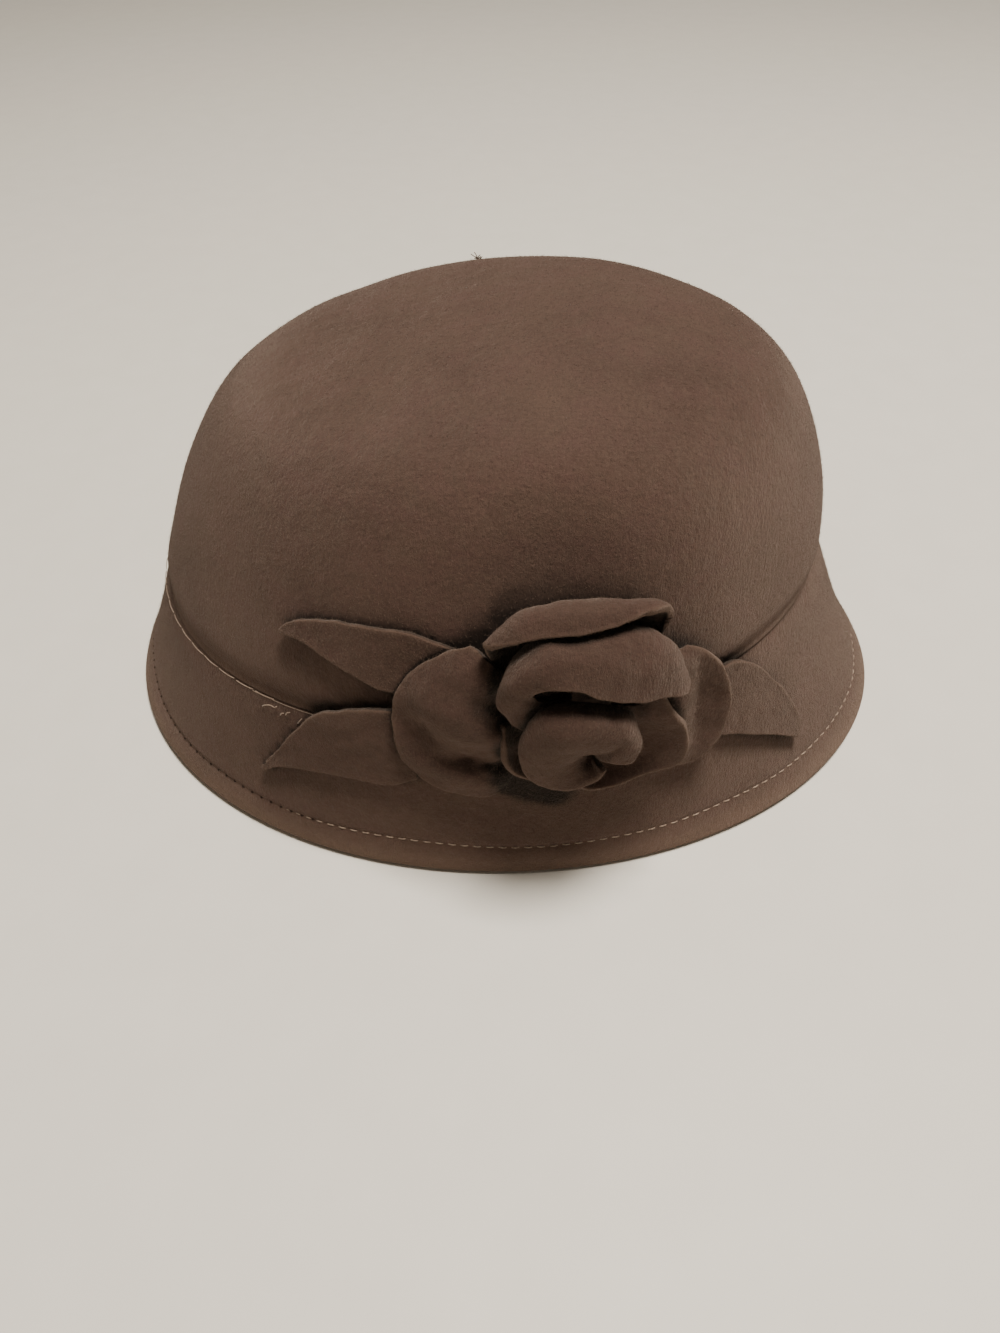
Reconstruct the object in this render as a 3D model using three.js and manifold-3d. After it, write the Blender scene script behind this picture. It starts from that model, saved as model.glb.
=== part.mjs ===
// Felt cloche hat with a turned-under brim edge, a rolled felt flower on one side and three felt leaves.
// Millimetres. +Z up, the front of the hat towards -Y, the flower on the -X side.
// The hat stands on the lower edge of its brim, at z = 0.
import * as THREE from "three";
import Module from "manifold-3d";

const wasm = await Module();
wasm.setup();

// Body of the hat
const SEAM_HALF_LENGTH = 101; // outside of the crown at its seam, front to back
const SEAM_HALF_WIDTH = 88;
const SEAM_HEIGHT = 47; // height of the crown's lower edge at the sides
const SEAM_FRONT_RISE = 6; // the seam climbs towards the front by this much, and drops at the back
const CROWN_RISE = 57; // from the seam to the crown's shoulder
const CROWN_DOME = 10; // how far the middle of the top stands above the shoulder
const CROWN_SLOPE = 0.19; // the top climbs towards the front
const LEAN_SIDE = 0.145; // how much the crown narrows towards the top
const LEAN_FRONT = -0.08; // added at the front, taken away at the back
const ROUND_SIDE = 9; // larger is a squarer shoulder
const ROUND_FRONT = -4;
const ROUND_TOP = 2.8;
const RIM_FRONT = 128.5; // from the middle to the lower edge of the brim
const RIM_BACK = 119;
const RIM_SIDE = 98;
const BRIM_HOLLOW = 0.34; // how much the brim's slope is hollowed between seam and edge
const FELT = 2.2;
const LAP = 7; // the brim's upper edge is tucked this far up inside the crown
const LAP_GAP = 0.3;
const HEM = 11; // felt turned up inside the brim's edge
const AROUND = 48; // facets round the crown and brim

// Flower and leaves
const PETAL_FELT = 2;
const PETAL_GAP = 0.3;
const FACE_TILT = THREE.MathUtils.degToRad(36); // the flower faces outwards and upwards by this angle

// ---- Surface of the hat ----

const turn = 2 * Math.PI;
const vec = (x, y, z) => new THREE.Vector3(x, y, z);

// Angle 0 is the front, a quarter turn is the side with the flower.
function seamPoint(angle) {
  const c = Math.cos(angle);
  const s = Math.sin(angle);
  return vec(-SEAM_HALF_WIDTH * s, -SEAM_HALF_LENGTH * c, SEAM_HEIGHT + SEAM_FRONT_RISE * c);
}

function crownPoint(angle, across, height) {
  const c = Math.cos(angle);
  const s = Math.sin(angle);
  const radius = across * (1 - (LEAN_SIDE + LEAN_FRONT * c) * height);
  const z = SEAM_HEIGHT + SEAM_FRONT_RISE * c * (1 - height)
    + CROWN_RISE * height * (1 + CROWN_SLOPE * radius * c) + CROWN_DOME * (1 - radius * radius);
  return vec(-SEAM_HALF_WIDTH * radius * s, -SEAM_HALF_LENGTH * radius * c, z);
}

// A line up the crown from the seam to the middle of the top.
function crownLine(angle, steps) {
  const round = ROUND_SIDE + ROUND_FRONT * Math.cos(angle);
  const turns = [];
  for (let i = 0; i <= steps; i++) {
    turns.push((i / steps) * Math.PI / 2);
    turns.push(Math.acos(Math.pow(i / steps, round / 2)));
  }
  turns.sort((a, b) => a - b);
  return turns.map((q) => {
    const across = q > Math.PI / 2 - 1e-9 ? 0 : Math.pow(Math.cos(q), 2 / round);
    return crownPoint(angle, across, Math.pow(Math.sin(q), 2 / ROUND_TOP));
  });
}

// A line down the brim from the seam to its lower edge.
function brimLine(angle, steps) {
  const c = Math.cos(angle);
  const s = Math.sin(angle);
  const reach = (RIM_FRONT + RIM_BACK) / 2 + (RIM_FRONT - RIM_BACK) / 2 * c;
  const from = seamPoint(angle);
  const line = [];
  for (let i = 0; i <= steps; i++) {
    const t = i / steps;
    const w = t - BRIM_HOLLOW * t * (1 - t);
    line.push(vec(from.x + (-RIM_SIDE * s - from.x) * w, from.y + (-reach * c - from.y) * w, from.z * (1 - t)));
  }
  return line;
}

function lengthOf(line) {
  let total = 0;
  for (let i = 1; i < line.length; i++) total += line[i].distanceTo(line[i - 1]);
  return total;
}

function pointAlong(line, distance) {
  let left = distance;
  for (let i = 1; i < line.length; i++) {
    const step = line[i].distanceTo(line[i - 1]);
    if (left <= step && step > 0) return line[i - 1].clone().lerp(line[i], left / step);
    left -= step;
  }
  return line[line.length - 1].clone();
}

const seamGirth = [0];
for (let i = 1; i <= 720; i++) {
  const a = seamPoint(((i - 1) / 720) * turn).setZ(0);
  const b = seamPoint((i / 720) * turn).setZ(0);
  seamGirth.push(seamGirth[i - 1] + a.distanceTo(b));
}

// Angle of the place this many mm along the seam from the middle of the flower's side, positive to the front.
function angleAt(along) {
  const wanted = seamGirth[180] - along;
  let i = 1;
  while (seamGirth[i] < wanted) i++;
  return ((i - 1 + (wanted - seamGirth[i - 1]) / (seamGirth[i] - seamGirth[i - 1])) / 720) * turn;
}

// A place beside the hat: along the seam, up the felt from it (down if negative), and out from the felt.
function onHat([along, up, out]) {
  const angle = angleAt(along);
  const base = up >= 0 ? pointAlong(crownLine(angle, 60), up) : pointAlong(brimLine(angle, 24), -up);
  const outward = vec(-Math.sin(angle) / SEAM_HALF_WIDTH, -Math.cos(angle) / SEAM_HALF_LENGTH, 0).normalize();
  outward.multiplyScalar(Math.cos(FACE_TILT)).setZ(Math.sin(FACE_TILT));
  return base.addScaledVector(outward, out);
}

// ---- Solids ----

class Shell {
  constructor() {
    this.points = [];
    this.faces = [];
  }

  add(p) {
    this.points.push(p.x, p.y, p.z);
    return this.points.length / 3 - 1;
  }

  ring(points) {
    return points.map((p) => this.add(p));
  }

  quad(a, b, c, d) {
    this.faces.push(a, b, c, a, c, d);
  }

  // A band of faces between two rows of the same length, closed into a ring if asked.
  band(low, high, closed) {
    const count = closed ? low.length : low.length - 1;
    for (let i = 0; i < count; i++) {
      const j = (i + 1) % low.length;
      this.quad(low[i], low[j], high[j], high[i]);
    }
  }

  fan(row, tip) {
    for (let i = 0; i < row.length; i++) this.faces.push(row[i], row[(i + 1) % row.length], tip);
  }

  solid() {
    const mesh = new wasm.Mesh({
      numProp: 3,
      vertProperties: new Float32Array(this.points),
      triVerts: new Uint32Array(this.faces),
    });
    mesh.merge();
    const made = new wasm.Manifold(mesh);
    if (made.volume() > 0) return made;
    const flipped = [];
    for (let i = 0; i < this.faces.length; i += 3) flipped.push(this.faces[i], this.faces[i + 2], this.faces[i + 1]);
    this.faces = flipped;
    return this.solid();
  }
}

const angles = Array.from({ length: AROUND }, (_, i) => (i / AROUND) * turn);

// Rows of points running around the hat, with the felt's outward direction at each.
function rowsAround(lineAt) {
  const lines = angles.map(lineAt);
  const rows = lines[0].map((_, k) => lines.map((line) => line[k]));
  const facing = rows.map((row, k) => row.map((p, i) => {
    const below = rows[Math.max(k - 1, 0)][i];
    const above = rows[Math.min(k + 1, rows.length - 1)][i];
    const before = row[(i + AROUND - 1) % AROUND];
    const after = row[(i + 1) % AROUND];
    return after.clone().sub(before).cross(below.clone().sub(above)).normalize();
  }));
  return { rows, facing };
}

const moved = (row, facing, distance) => row.map((p, i) => p.clone().addScaledVector(facing[i], -distance));

// Rows up the crown, as shares of the way from the seam to the middle of the top.
const CROWN_ROWS = [0, 0.05, 0.12, 0.2, 0.28, 0.35, 0.41, 0.46, 0.5, 0.54, 0.58, 0.65, 0.76, 0.88];

function makeCrown() {
  const shell = new Shell();
  const top = crownPoint(0, 0, 1);
  const { rows, facing } = rowsAround((angle) => {
    const line = crownLine(angle, 160);
    const whole = lengthOf(line);
    return CROWN_ROWS.map((share) => pointAlong(line, share * whole));
  });
  const outer = rows.map((row) => shell.ring(row));
  const inner = rows.map((row, k) => shell.ring(moved(row, facing[k], FELT)));
  for (let k = 1; k < rows.length; k++) {
    shell.band(outer[k - 1], outer[k], true);
    shell.band(inner[k], inner[k - 1], true);
  }
  shell.band(inner[0], outer[0], true);
  shell.fan(outer[outer.length - 1], shell.add(top));
  shell.fan(inner[inner.length - 1].slice().reverse(), shell.add(top.clone().setZ(top.z - FELT)));
  return shell.solid();
}

const STEP_BACK = FELT + LAP_GAP;
// Rows up the brim above its hem: share of the way from hem to seam, and how far
// the brim's outside is set back behind the crown's outside.
const BRIM_ROWS = [[0.3, 0], [0.6, 0], [0.84, 0.1], [0.95, 0.9], [1, STEP_BACK]];

function makeBrim() {
  const shell = new Shell();
  const hanging = rowsAround((angle) => {
    const line = brimLine(angle, 60).reverse();
    const whole = lengthOf(line);
    return [0, 1.2, HEM / 2, HEM, ...BRIM_ROWS.map(([share]) => HEM + share * (whole - HEM))]
      .map((d) => pointAlong(line, d));
  });
  const tucked = rowsAround((angle) => {
    const line = crownLine(angle, 160);
    return [0, LAP / 2, LAP].map((d) => pointAlong(line, d));
  });
  // Thickness is taken level, so that the hem does not reach below the foot.
  for (const row of hanging.facing) {
    row.forEach((f) => f.setZ(0).divideScalar(f.x * f.x + f.y * f.y));
  }
  const setBack = [0, 0, 0, 0, ...BRIM_ROWS.map(([, back]) => back)];
  const wall = hanging.rows.map((row, k) => ({ row, facing: hanging.facing[k], back: setBack[k] }));
  wall[wall.length - 1].facing = tucked.facing[0];
  for (const k of [1, 2]) wall.push({ row: tucked.rows[k], facing: tucked.facing[k], back: STEP_BACK });
  const ringAt = ({ row, facing, back }, deeper) => shell.ring(moved(row, facing, back + deeper));
  const footAt = (depth) => shell.ring(moved(wall[0].row, wall[0].facing, depth).map((p) => p.setZ(0)));
  // Outside from the foot up, over the tucked edge, down the inside, over the hem's edge, back to the foot.
  const loop = [
    footAt(0.7),
    ...wall.slice(1).map((level) => ringAt(level, 0)),
    ...wall.slice(3).reverse().map((level) => ringAt(level, FELT)),
    ...wall.slice(1, 4).reverse().map((level) => ringAt(level, 2 * FELT)),
    footAt(2 * FELT - 0.7),
  ];
  loop.forEach((ring, k) => shell.band(ring, loop[(k + 1) % loop.length], true));
  return shell.solid();
}

// Uniform spline through the values of a row, t from 0 to 1.
function through(values, t) {
  const last = values.length - 1;
  const place = Math.min(Math.max(t, 0), 1) * last;
  const i = Math.min(Math.floor(place), last - 1);
  const f = place - i;
  const at = (k) => (k < 0 ? values[0].map((v, n) => 2 * v - values[1][n])
    : k > last ? values[last].map((v, n) => 2 * v - values[last - 1][n]) : values[k]);
  const [a, b, c, d] = [at(i - 1), at(i), at(i + 1), at(i + 2)];
  return b.map((v, n) => v + 0.5 * f * (c[n] - a[n]
    + f * (2 * a[n] - 5 * v + 4 * c[n] - d[n] + f * (3 * (v - c[n]) + d[n] - a[n]))));
}

// A sheet of felt through a table of places: rows across the petal, columns from its root to its rim.
function makeSheet(table, acrossSteps, outSteps, felt, extra) {
  const placeAt = (u, v) => onHat(through(table.map((row) => through(row, v)), u));
  const grid = [];
  for (let i = 0; i <= acrossSteps; i++) {
    const u = i / acrossSteps;
    grid.push([]);
    for (let j = 0; j <= outSteps; j++) grid[i].push(placeAt(u, j / outSteps));
  }
  const clamp = (k, top) => Math.min(Math.max(k, 0), top);
  const at = (i, j) => grid[clamp(i, acrossSteps)][clamp(j, outSteps)];
  const shell = new Shell();
  const face = [];
  const back = [];
  for (let i = 0; i <= acrossSteps; i++) {
    face.push([]);
    back.push([]);
    for (let j = 0; j <= outSteps; j++) {
      const p = at(i, j);
      const along = at(i + 1, j).clone().sub(at(i - 1, j));
      const out = at(i, j + 1).clone().sub(at(i, j - 1));
      const normal = along.cross(out).normalize();
      face[i].push(shell.add(p.clone().addScaledVector(normal, felt / 2)));
      back[i].push(shell.add(p.clone().addScaledVector(normal, -felt / 2)));
    }
  }
  for (let i = 0; i < acrossSteps; i++) {
    shell.band(face[i], face[i + 1], false);
    shell.band(back[i + 1], back[i], false);
  }
  // The cut edge all round, drawn out a little so that it is blunt rather than square.
  const border = [];
  for (let i = 0; i < acrossSteps; i++) border.push([i, 0, 0, -1]);
  for (let j = 0; j < outSteps; j++) border.push([acrossSteps, j, 1, 0]);
  for (let i = acrossSteps; i > 0; i--) border.push([i, outSteps, 0, 1]);
  for (let j = outSteps; j > 0; j--) border.push([0, j, -1, 0]);
  const corner = (i, j) => (i === 0 || i === acrossSteps) && (j === 0 || j === outSteps);
  const edge = border.map(([i, j, di, dj]) => {
    const away = at(i, j).clone().sub(at(i - di, j - dj));
    if (corner(i, j)) away.set(0, 0, 0);
    return shell.add(at(i, j).clone().addScaledVector(away.normalize(), felt * 0.3 + extra));
  });
  const faceRing = border.map(([i, j]) => face[i][j]);
  const backRing = border.map(([i, j]) => back[i][j]);
  shell.band(faceRing, edge, true);
  shell.band(edge, backRing, true);
  return shell.solid();
}

// ---- Flower and leaves ----

// Places are [along the seam, up the felt from the seam, out from the felt] in mm.
// Each row of a petal runs from its root, under the flower, to its rim.
const PETAL_LEFT = [
  // root          near          middle          far            rim
  [[17, -7, 1.8], [16, -10, 2], [15, -12, 2.2], [14, -14, 2.6], [14, -16.5, 2.4]],
  [[17, -4, 1.8], [14, -9, 2], [11, -12, 3.4], [9, -15, 4.2], [6, -18, 2.6]],
  [[17, -2, 1.8], [13, -7, 1.8], [8, -10, 4], [2, -13, 5], [-3, -15, 2.8]],
  [[17, 1, 2], [12, -3, 5], [4, -4, 2.4], [-4, -7, 5], [-11, -7, 3]],
  [[17, 4, 2.4], [11, 2, 8.5], [2, 3, 8], [-5, 3, 3.4], [-14, 4, 3]],
  [[17, 7, 2.4], [12, 7, 6], [3, 9, 9.5], [-5, 11, 7], [-12.5, 14, 3]],
  [[17, 10, 2.4], [13, 11, 3.2], [7, 14, 8], [0, 17.5, 7], [-7.5, 20.5, 3.2]],
  [[17, 13, 2.4], [14, 14, 4.8], [10, 18, 8], [4.5, 22, 7], [0, 24.8, 3.5]],
  [[17, 16, 2.4], [15, 18, 5], [13, 21, 6.5], [10, 24.5, 6], [6.5, 27, 4.5]],
];
const PETAL_BACK = [
  // root          back          crest           face           rim
  [[16, 17, 3], [12, 22, 5], [10, 26.5, 9], [10, 28, 11], [11, 28, 13]],
  [[20, 17, 2.4], [16, 27, 3.5], [14, 31, 9.5], [14, 30.8, 12.5], [15, 28.5, 15]],
  [[24, 18, 2.4], [21, 31, 3.5], [19, 35, 10], [19.5, 33.5, 14], [21, 29.6, 16.5]],
  [[29, 19, 2.4], [28, 32, 3.5], [27, 36, 10.5], [28, 34, 15], [29, 29.6, 17.5]],
  [[34, 20, 2.4], [35, 32, 3.5], [35.5, 35.4, 10.5], [35.5, 33.5, 15], [36, 29.8, 17]],
  [[39, 20, 2.4], [40.5, 30, 4], [42.5, 33.5, 10.5], [43, 33, 14], [43.5, 31, 16]],
  [[43, 18, 2.6], [46, 26, 5], [48.5, 31.5, 10], [48.7, 32, 12.5], [49, 31, 14.5]],
  [[45, 16, 3], [48.5, 22, 6], [51, 27, 9], [51.6, 29, 10.5], [51.5, 29.5, 12]],
  [[46, 15, 4], [48.5, 19, 6], [50.5, 23, 8], [51.4, 25.5, 9.5], [51.8, 27, 10.5]],
];
const PETAL_UPPER = [
  // back          crest         face            brow           rim
  [[24, 7, 7], [25, 9, 9.5], [26, 11, 11], [28, 12, 12.5], [29, 14, 13.5]],
  [[19, 5, 7.5], [18, 6, 11], [19, 9, 14], [21, 11.5, 14.5], [22, 13.5, 14.5]],
  [[17, 9, 7], [14, 11.5, 12], [14, 13, 15], [17, 13.5, 17], [19.5, 15.5, 16]],
  [[17, 16, 6.5], [14, 16.5, 12], [14, 18, 15], [16, 18, 18.5], [20, 17, 18.5]],
  [[20, 21, 6.5], [16, 22, 12], [17, 23.5, 15], [19, 22, 19.5], [23, 17.5, 21]],
  [[24, 24, 6.5], [21, 27.5, 12], [22, 28, 15], [24, 24, 20], [26, 17, 22]],
  [[29, 24, 6.5], [29, 28.5, 12], [29, 28, 15.5], [30, 23, 20.5], [29, 15.5, 22.5]],
  [[34, 24, 6.5], [36, 28.5, 12], [36, 27, 16], [36, 21, 20.5], [34, 12, 22.5]],
  [[39, 24, 6.5], [42, 27.5, 12], [43, 26, 16], [42, 19, 20], [41, 9.5, 22]],
  [[44, 22, 6.5], [48, 24, 12], [49, 22, 15.5], [48, 17, 19], [46, 9, 21]],
  [[47, 17, 6.5], [52, 18, 12.5], [52, 16, 15.5], [51, 13, 18], [50, 8, 20]],
  [[49, 12, 7.5], [52, 13, 12], [53, 12, 15], [53, 10, 17], [52, 8, 18.5]],
];
const BUD = [
  // throat         mouth            face             crest            rim
  [[33, -7, 11.5], [33.5, -8, 13.5], [34, -9, 15], [34.3, -9.8, 15.7], [34.5, -10.2, 16]],
  [[32.5, -6.5, 11], [32.5, -8.8, 13], [32.5, -10.8, 14.2], [32.3, -12, 14.6], [32.3, -12.8, 14.6]],
  [[31.5, -6, 11], [30, -9, 13], [28.5, -12, 13.4], [27.8, -14, 13.3], [27.5, -14.8, 13]],
  [[31, -5.5, 11.5], [27.5, -7.8, 14], [24.5, -10.4, 13.8], [22.4, -12.2, 13], [21.8, -12.8, 12.5]],
  [[30.5, -5, 12], [25.5, -5.8, 15.5], [21.2, -7, 15.4], [19, -7.8, 14.2], [18.3, -8.2, 13.5]],
  [[30.5, -4.6, 12.5], [25.5, -3.5, 17.5], [20.8, -2.3, 17.8], [18.2, -2, 16.4], [17.3, -2, 15.2]],
  [[30.5, -4.3, 13], [26.5, -1, 19.4], [21.6, 2.5, 19.8], [18.8, 5, 17.5], [18.6, 5, 15.2]],
  [[31, -4.2, 13.5], [28.5, 0.2, 20.8], [25, 5.8, 21.5], [21.7, 10, 18], [22.2, 9.6, 15]],
  [[31.5, -4.2, 13.5], [31, 0.5, 21.2], [29.5, 6.5, 22], [27.5, 11, 18], [28, 10.5, 14.5]],
  [[32, -4.2, 13.5], [33.8, 0, 21.2], [34, 5, 22], [34, 9, 18], [33.5, 8.5, 14.5]],
  [[32.5, -4.4, 13.5], [36, -1, 21], [38, 3, 21.5], [39, 6.5, 18], [38.3, 6, 14.5]],
  [[33, -4.8, 13.5], [36.5, -2.3, 20.8], [39.5, 0, 21], [40.8, 2, 18], [40.2, 2, 15]],
  [[33.5, -5.4, 13.5], [36.2, -4.6, 20.3], [39.5, -3.3, 21], [41.2, -3.2, 19], [40.5, -3.3, 16.5]],
  [[34, -6.4, 13.5], [35.5, -6.8, 18.5], [37.5, -7.6, 19.8], [39, -7.6, 19.5], [40, -7, 18.4]],
];
const CUP_PETAL = [
  // root          belly           rim
  [[20, 4, 3], [16, 5, 5.5], [13.5, 6, 8]],
  [[21, 1, 3], [16, 0, 5.2], [13.5, 0, 9]],
  [[22, -3, 3], [16, -4.5, 5], [13.5, -5.5, 9]],
  [[24, -5.5, 3], [19, -8, 5], [16, -10, 8.4]],
  [[27, -7, 3], [23.5, -10.5, 5], [20.5, -13.3, 8]],
  [[31, -8, 3], [29, -12.5, 5], [27, -15.6, 8]],
  [[34, -9, 3], [35, -14, 5], [34, -19, 8.4]],
  [[38, -8, 3], [42, -13, 6], [45, -17.5, 9.6]],
  [[40, -6, 3], [47, -10, 7.5], [52.5, -16.5, 11.5]],
  [[41, -3, 3], [49, -7, 8.5], [54.5, -11.5, 13.5]],
  [[41, 0, 3], [48, -2, 9], [54.5, -5, 14]],
  [[40, 3, 3], [46, 2, 9], [51.5, 2, 14]],
  [[40, 6, 3], [45, 6, 9], [49, 8.5, 13.5]],
];
const PETAL_RIGHT = [
  // root          inner         ridge           hollow         rim
  [[46, 12, 3], [50, 15, 5], [53, 17, 6.5], [56, 17, 6.5], [58, 17, 6]],
  [[46, 9, 3], [52, 12, 6.5], [55.5, 13.5, 8.4], [59.5, 13.5, 7.6], [63, 13.5, 7.8]],
  [[47, 5, 3], [52, 8, 6], [56, 8, 8.6], [61.5, 8.5, 7], [66.5, 9, 8.6]],
  [[47, 0, 3], [52, 2, 5.5], [56, 2, 8.6], [62, 2, 5.8], [69, 3, 9]],
  [[47, -4, 3], [51, -2, 5], [56, -3, 8], [61.5, -4, 5], [70, -3.5, 9]],
  [[47, -8, 3], [51, -8, 4.6], [56, -9, 6.4], [61, -10, 4.6], [69, -9, 8.2]],
  [[47, -11, 2.5], [52, -13, 4], [56, -15, 5.2], [60.5, -16, 4.4], [66, -15.5, 6.2]],
  [[47, -14, 2.5], [51, -17, 3], [55, -20, 3.8], [58, -21, 3.2], [61, -20, 4]],
];
const LEAF_UPPER_LEFT = [
  // lower edge    middle        upper edge
  [[-48, 23, 1.5], [-47, 24, 1.5], [-46, 25, 1.5]],
  [[-44, 23, 2], [-44, 25, 1.6], [-43, 27, 1.6]],
  [[-38, 22, 2.4], [-37, 26, 1.8], [-36, 29, 1.6]],
  [[-31, 19, 2.6], [-29, 25, 2], [-28, 30, 1.6]],
  [[-24, 16, 2.6], [-21, 24, 2], [-18, 30, 1.8]],
  [[-16, 13, 1.8], [-13, 22, 1.8], [-10, 30, 1.8]],
  [[-9, 13, 1.5], [-6, 21, 1.5], [-3, 28, 2]],
  [[-2, 14, 1.4], [0, 20, 1.4], [4, 25, 1.6]],
];
const LEAF_LOWER_LEFT = [
  // lower edge    middle        upper edge
  [[-51, -24, 1.5], [-51, -23, 1.5], [-50, -22, 1.5]],
  [[-47, -21, 2], [-46, -17, 1.6], [-45, -12, 1.5]],
  [[-42, -19, 2], [-41, -11, 1.6], [-40, -4, 1.6]],
  [[-37, -18, 2], [-36, -8, 1.8], [-35, 2, 1.8]],
  [[-30, -17, 2], [-29, -6, 1.8], [-28, 5, 2]],
  [[-22, -17, 2], [-22, -5, 1.8], [-21, 7, 2.2]],
  [[-15, -17, 1.6], [-15, -5, 1.6], [-14, 8, 1.8]],
  [[-8, -14, 1.4], [-8, -4, 1.4], [-8, 7, 1.4]],
];
const LEAF_RIGHT = [
  // lower edge    middle        upper edge
  [[60, -12.4, 1.4], [62, -5, 1.4], [64, 3, 1.4]],
  [[69, -17.8, 2], [70, -7, 1.8], [71, 4.4, 1.8]],
  [[73.5, -20.5, 2.2], [76, -9, 2], [79, 2.4, 1.8]],
  [[78, -23.8, 2.2], [82.5, -13.5, 2], [86, -5, 1.8]],
  [[84.5, -28.6, 2], [88.5, -22.5, 1.8], [92, -16.5, 1.6]],
  [[89.5, -33, 1.8], [92, -29.5, 1.6], [94.8, -25.5, 1.6]],
  [[93, -36.4, 1.6], [94.2, -34.5, 1.6], [95.4, -32, 1.6]],
];
// Nearest the middle of the flower first: each later piece is trimmed clear of the earlier ones.
const FLOWER = [
  // name, table, steps across, steps from root to rim
  ["bud", BUD, 18, 9],
  ["petal_upper", PETAL_UPPER, 16, 8],
  ["cup_petal", CUP_PETAL, 18, 4],
  ["petal_back", PETAL_BACK, 12, 9],
  ["petal_left", PETAL_LEFT, 14, 7],
  ["petal_right", PETAL_RIGHT, 12, 8],
  ["leaf_right", LEAF_RIGHT, 10, 4],
  ["leaf_upper_left", LEAF_UPPER_LEFT, 12, 4],
  ["leaf_lower_left", LEAF_LOWER_LEFT, 12, 4],
];

// ---- Putting the hat together ----

const parts = [["crown", makeCrown()], ["brim", makeBrim()]];
const taken = [];
for (const [name, table, across, out] of FLOWER) {
  const whole = makeSheet(table, across, out, PETAL_FELT, 0);
  const trimmed = taken.reduce((left, other) => left.subtract(other), whole);
  const bodies = trimmed.decompose().sort((a, b) => b.volume() - a.volume());
  parts.push([name, bodies[0]]);
  taken.push(makeSheet(table, across, out, PETAL_FELT + 2 * PETAL_GAP, PETAL_GAP).add(bodies[0]));
}

const material = new THREE.MeshStandardMaterial({ color: 0x7a6252, roughness: 1 });
material.name = "felt";

function toMesh(name, solid) {
  const { numProp, vertProperties, triVerts } = solid.getMesh();
  const points = [];
  for (let i = 0; i < vertProperties.length; i += numProp) points.push(...vertProperties.slice(i, i + 3));
  const geometry = new THREE.BufferGeometry();
  geometry.setAttribute("position", new THREE.Float32BufferAttribute(points, 3));
  geometry.setIndex([...triVerts]);
  geometry.computeVertexNormals();
  const mesh = new THREE.Mesh(geometry, material);
  mesh.name = name;
  return mesh;
}

const group = new THREE.Group();
for (const [name, solid] of parts) group.add(toMesh(name, solid));

// The origin is the middle of the underside of everything.
const box = new THREE.Box3().setFromObject(group);
const middle = box.getCenter(vec(0, 0, 0));
for (const mesh of group.children) mesh.geometry.translate(-middle.x, -middle.y, -box.min.z);

export default group;
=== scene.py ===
"""A brown felt cloche hat with a stitched brim, a rolled felt flower and three felt leaves.

Sizes are in millimetres on the hat's own axis until to_frame() turns them into metres in the shared frame.
"""
import math

import bpy
import numpy as np
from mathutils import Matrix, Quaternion, Vector
from mathutils.bvhtree import BVHTree


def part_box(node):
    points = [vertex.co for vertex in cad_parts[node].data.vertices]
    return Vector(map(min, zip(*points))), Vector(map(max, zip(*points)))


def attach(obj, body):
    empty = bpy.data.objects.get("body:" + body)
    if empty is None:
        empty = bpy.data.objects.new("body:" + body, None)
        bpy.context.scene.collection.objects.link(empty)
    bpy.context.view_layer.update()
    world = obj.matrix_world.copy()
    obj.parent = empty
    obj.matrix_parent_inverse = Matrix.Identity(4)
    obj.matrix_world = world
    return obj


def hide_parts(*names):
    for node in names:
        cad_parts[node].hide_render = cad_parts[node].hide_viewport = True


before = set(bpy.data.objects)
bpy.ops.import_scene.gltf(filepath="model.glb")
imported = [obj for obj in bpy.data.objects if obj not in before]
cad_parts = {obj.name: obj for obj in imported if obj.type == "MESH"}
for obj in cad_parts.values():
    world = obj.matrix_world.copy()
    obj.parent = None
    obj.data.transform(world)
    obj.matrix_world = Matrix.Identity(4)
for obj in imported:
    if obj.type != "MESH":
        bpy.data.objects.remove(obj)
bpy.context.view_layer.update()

MM = 0.001

# -------- sizes of the hat

# The seam is the oval line where the crown's lower edge lies on the brim.
SEAM_HALF_LENGTH = 101.0
SEAM_HALF_WIDTH = 88.0
SEAM_HEIGHT = 47.0
SEAM_FRONT_RISE = 6.0

CROWN_RISE = 57.0
CROWN_DOME = 10.0
CROWN_SLOPE = 0.19
LEAN_SIDE, LEAN_FRONT = 0.145, -0.08
ROUND_SIDE, ROUND_FRONT, ROUND_TOP = 9.0, -4.0, 2.8

RIM_FRONT, RIM_BACK, RIM_SIDE = 128.5, 119.0, 98.0
BRIM_HOLLOW = 0.34
HEM = 11.0
STITCH_ABOVE_RIM = 10.5

FELT = 2.2
PETAL_FELT = 2.0
LEAF_FELT = 1.6
LAP = 7.0
LAP_GAP = 0.3
# The crown's felt is this much thinner at its cut edge than above it.
EDGE_PARED = 1.6

# The flower faces outward and upward by this angle.
FACE_TILT = math.radians(36)

crown_low, crown_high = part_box("crown")
AXIS = np.array([(crown_low[0] + crown_high[0]) / 2, (crown_low[1] + crown_high[1]) / 2, 0.0])


def to_frame(points):
    """Millimetres on the hat's axis to metres in the shared frame."""
    return np.asarray(points, float) * MM + AXIS


# -------- surface of the hat

def seam_point(angle):
    """Angle 0 is the front, a quarter turn is the side with the flower."""
    c, s = np.cos(angle), np.sin(angle)
    return np.stack([-SEAM_HALF_WIDTH * s, -SEAM_HALF_LENGTH * c, SEAM_HEIGHT + SEAM_FRONT_RISE * c], -1)


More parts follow.
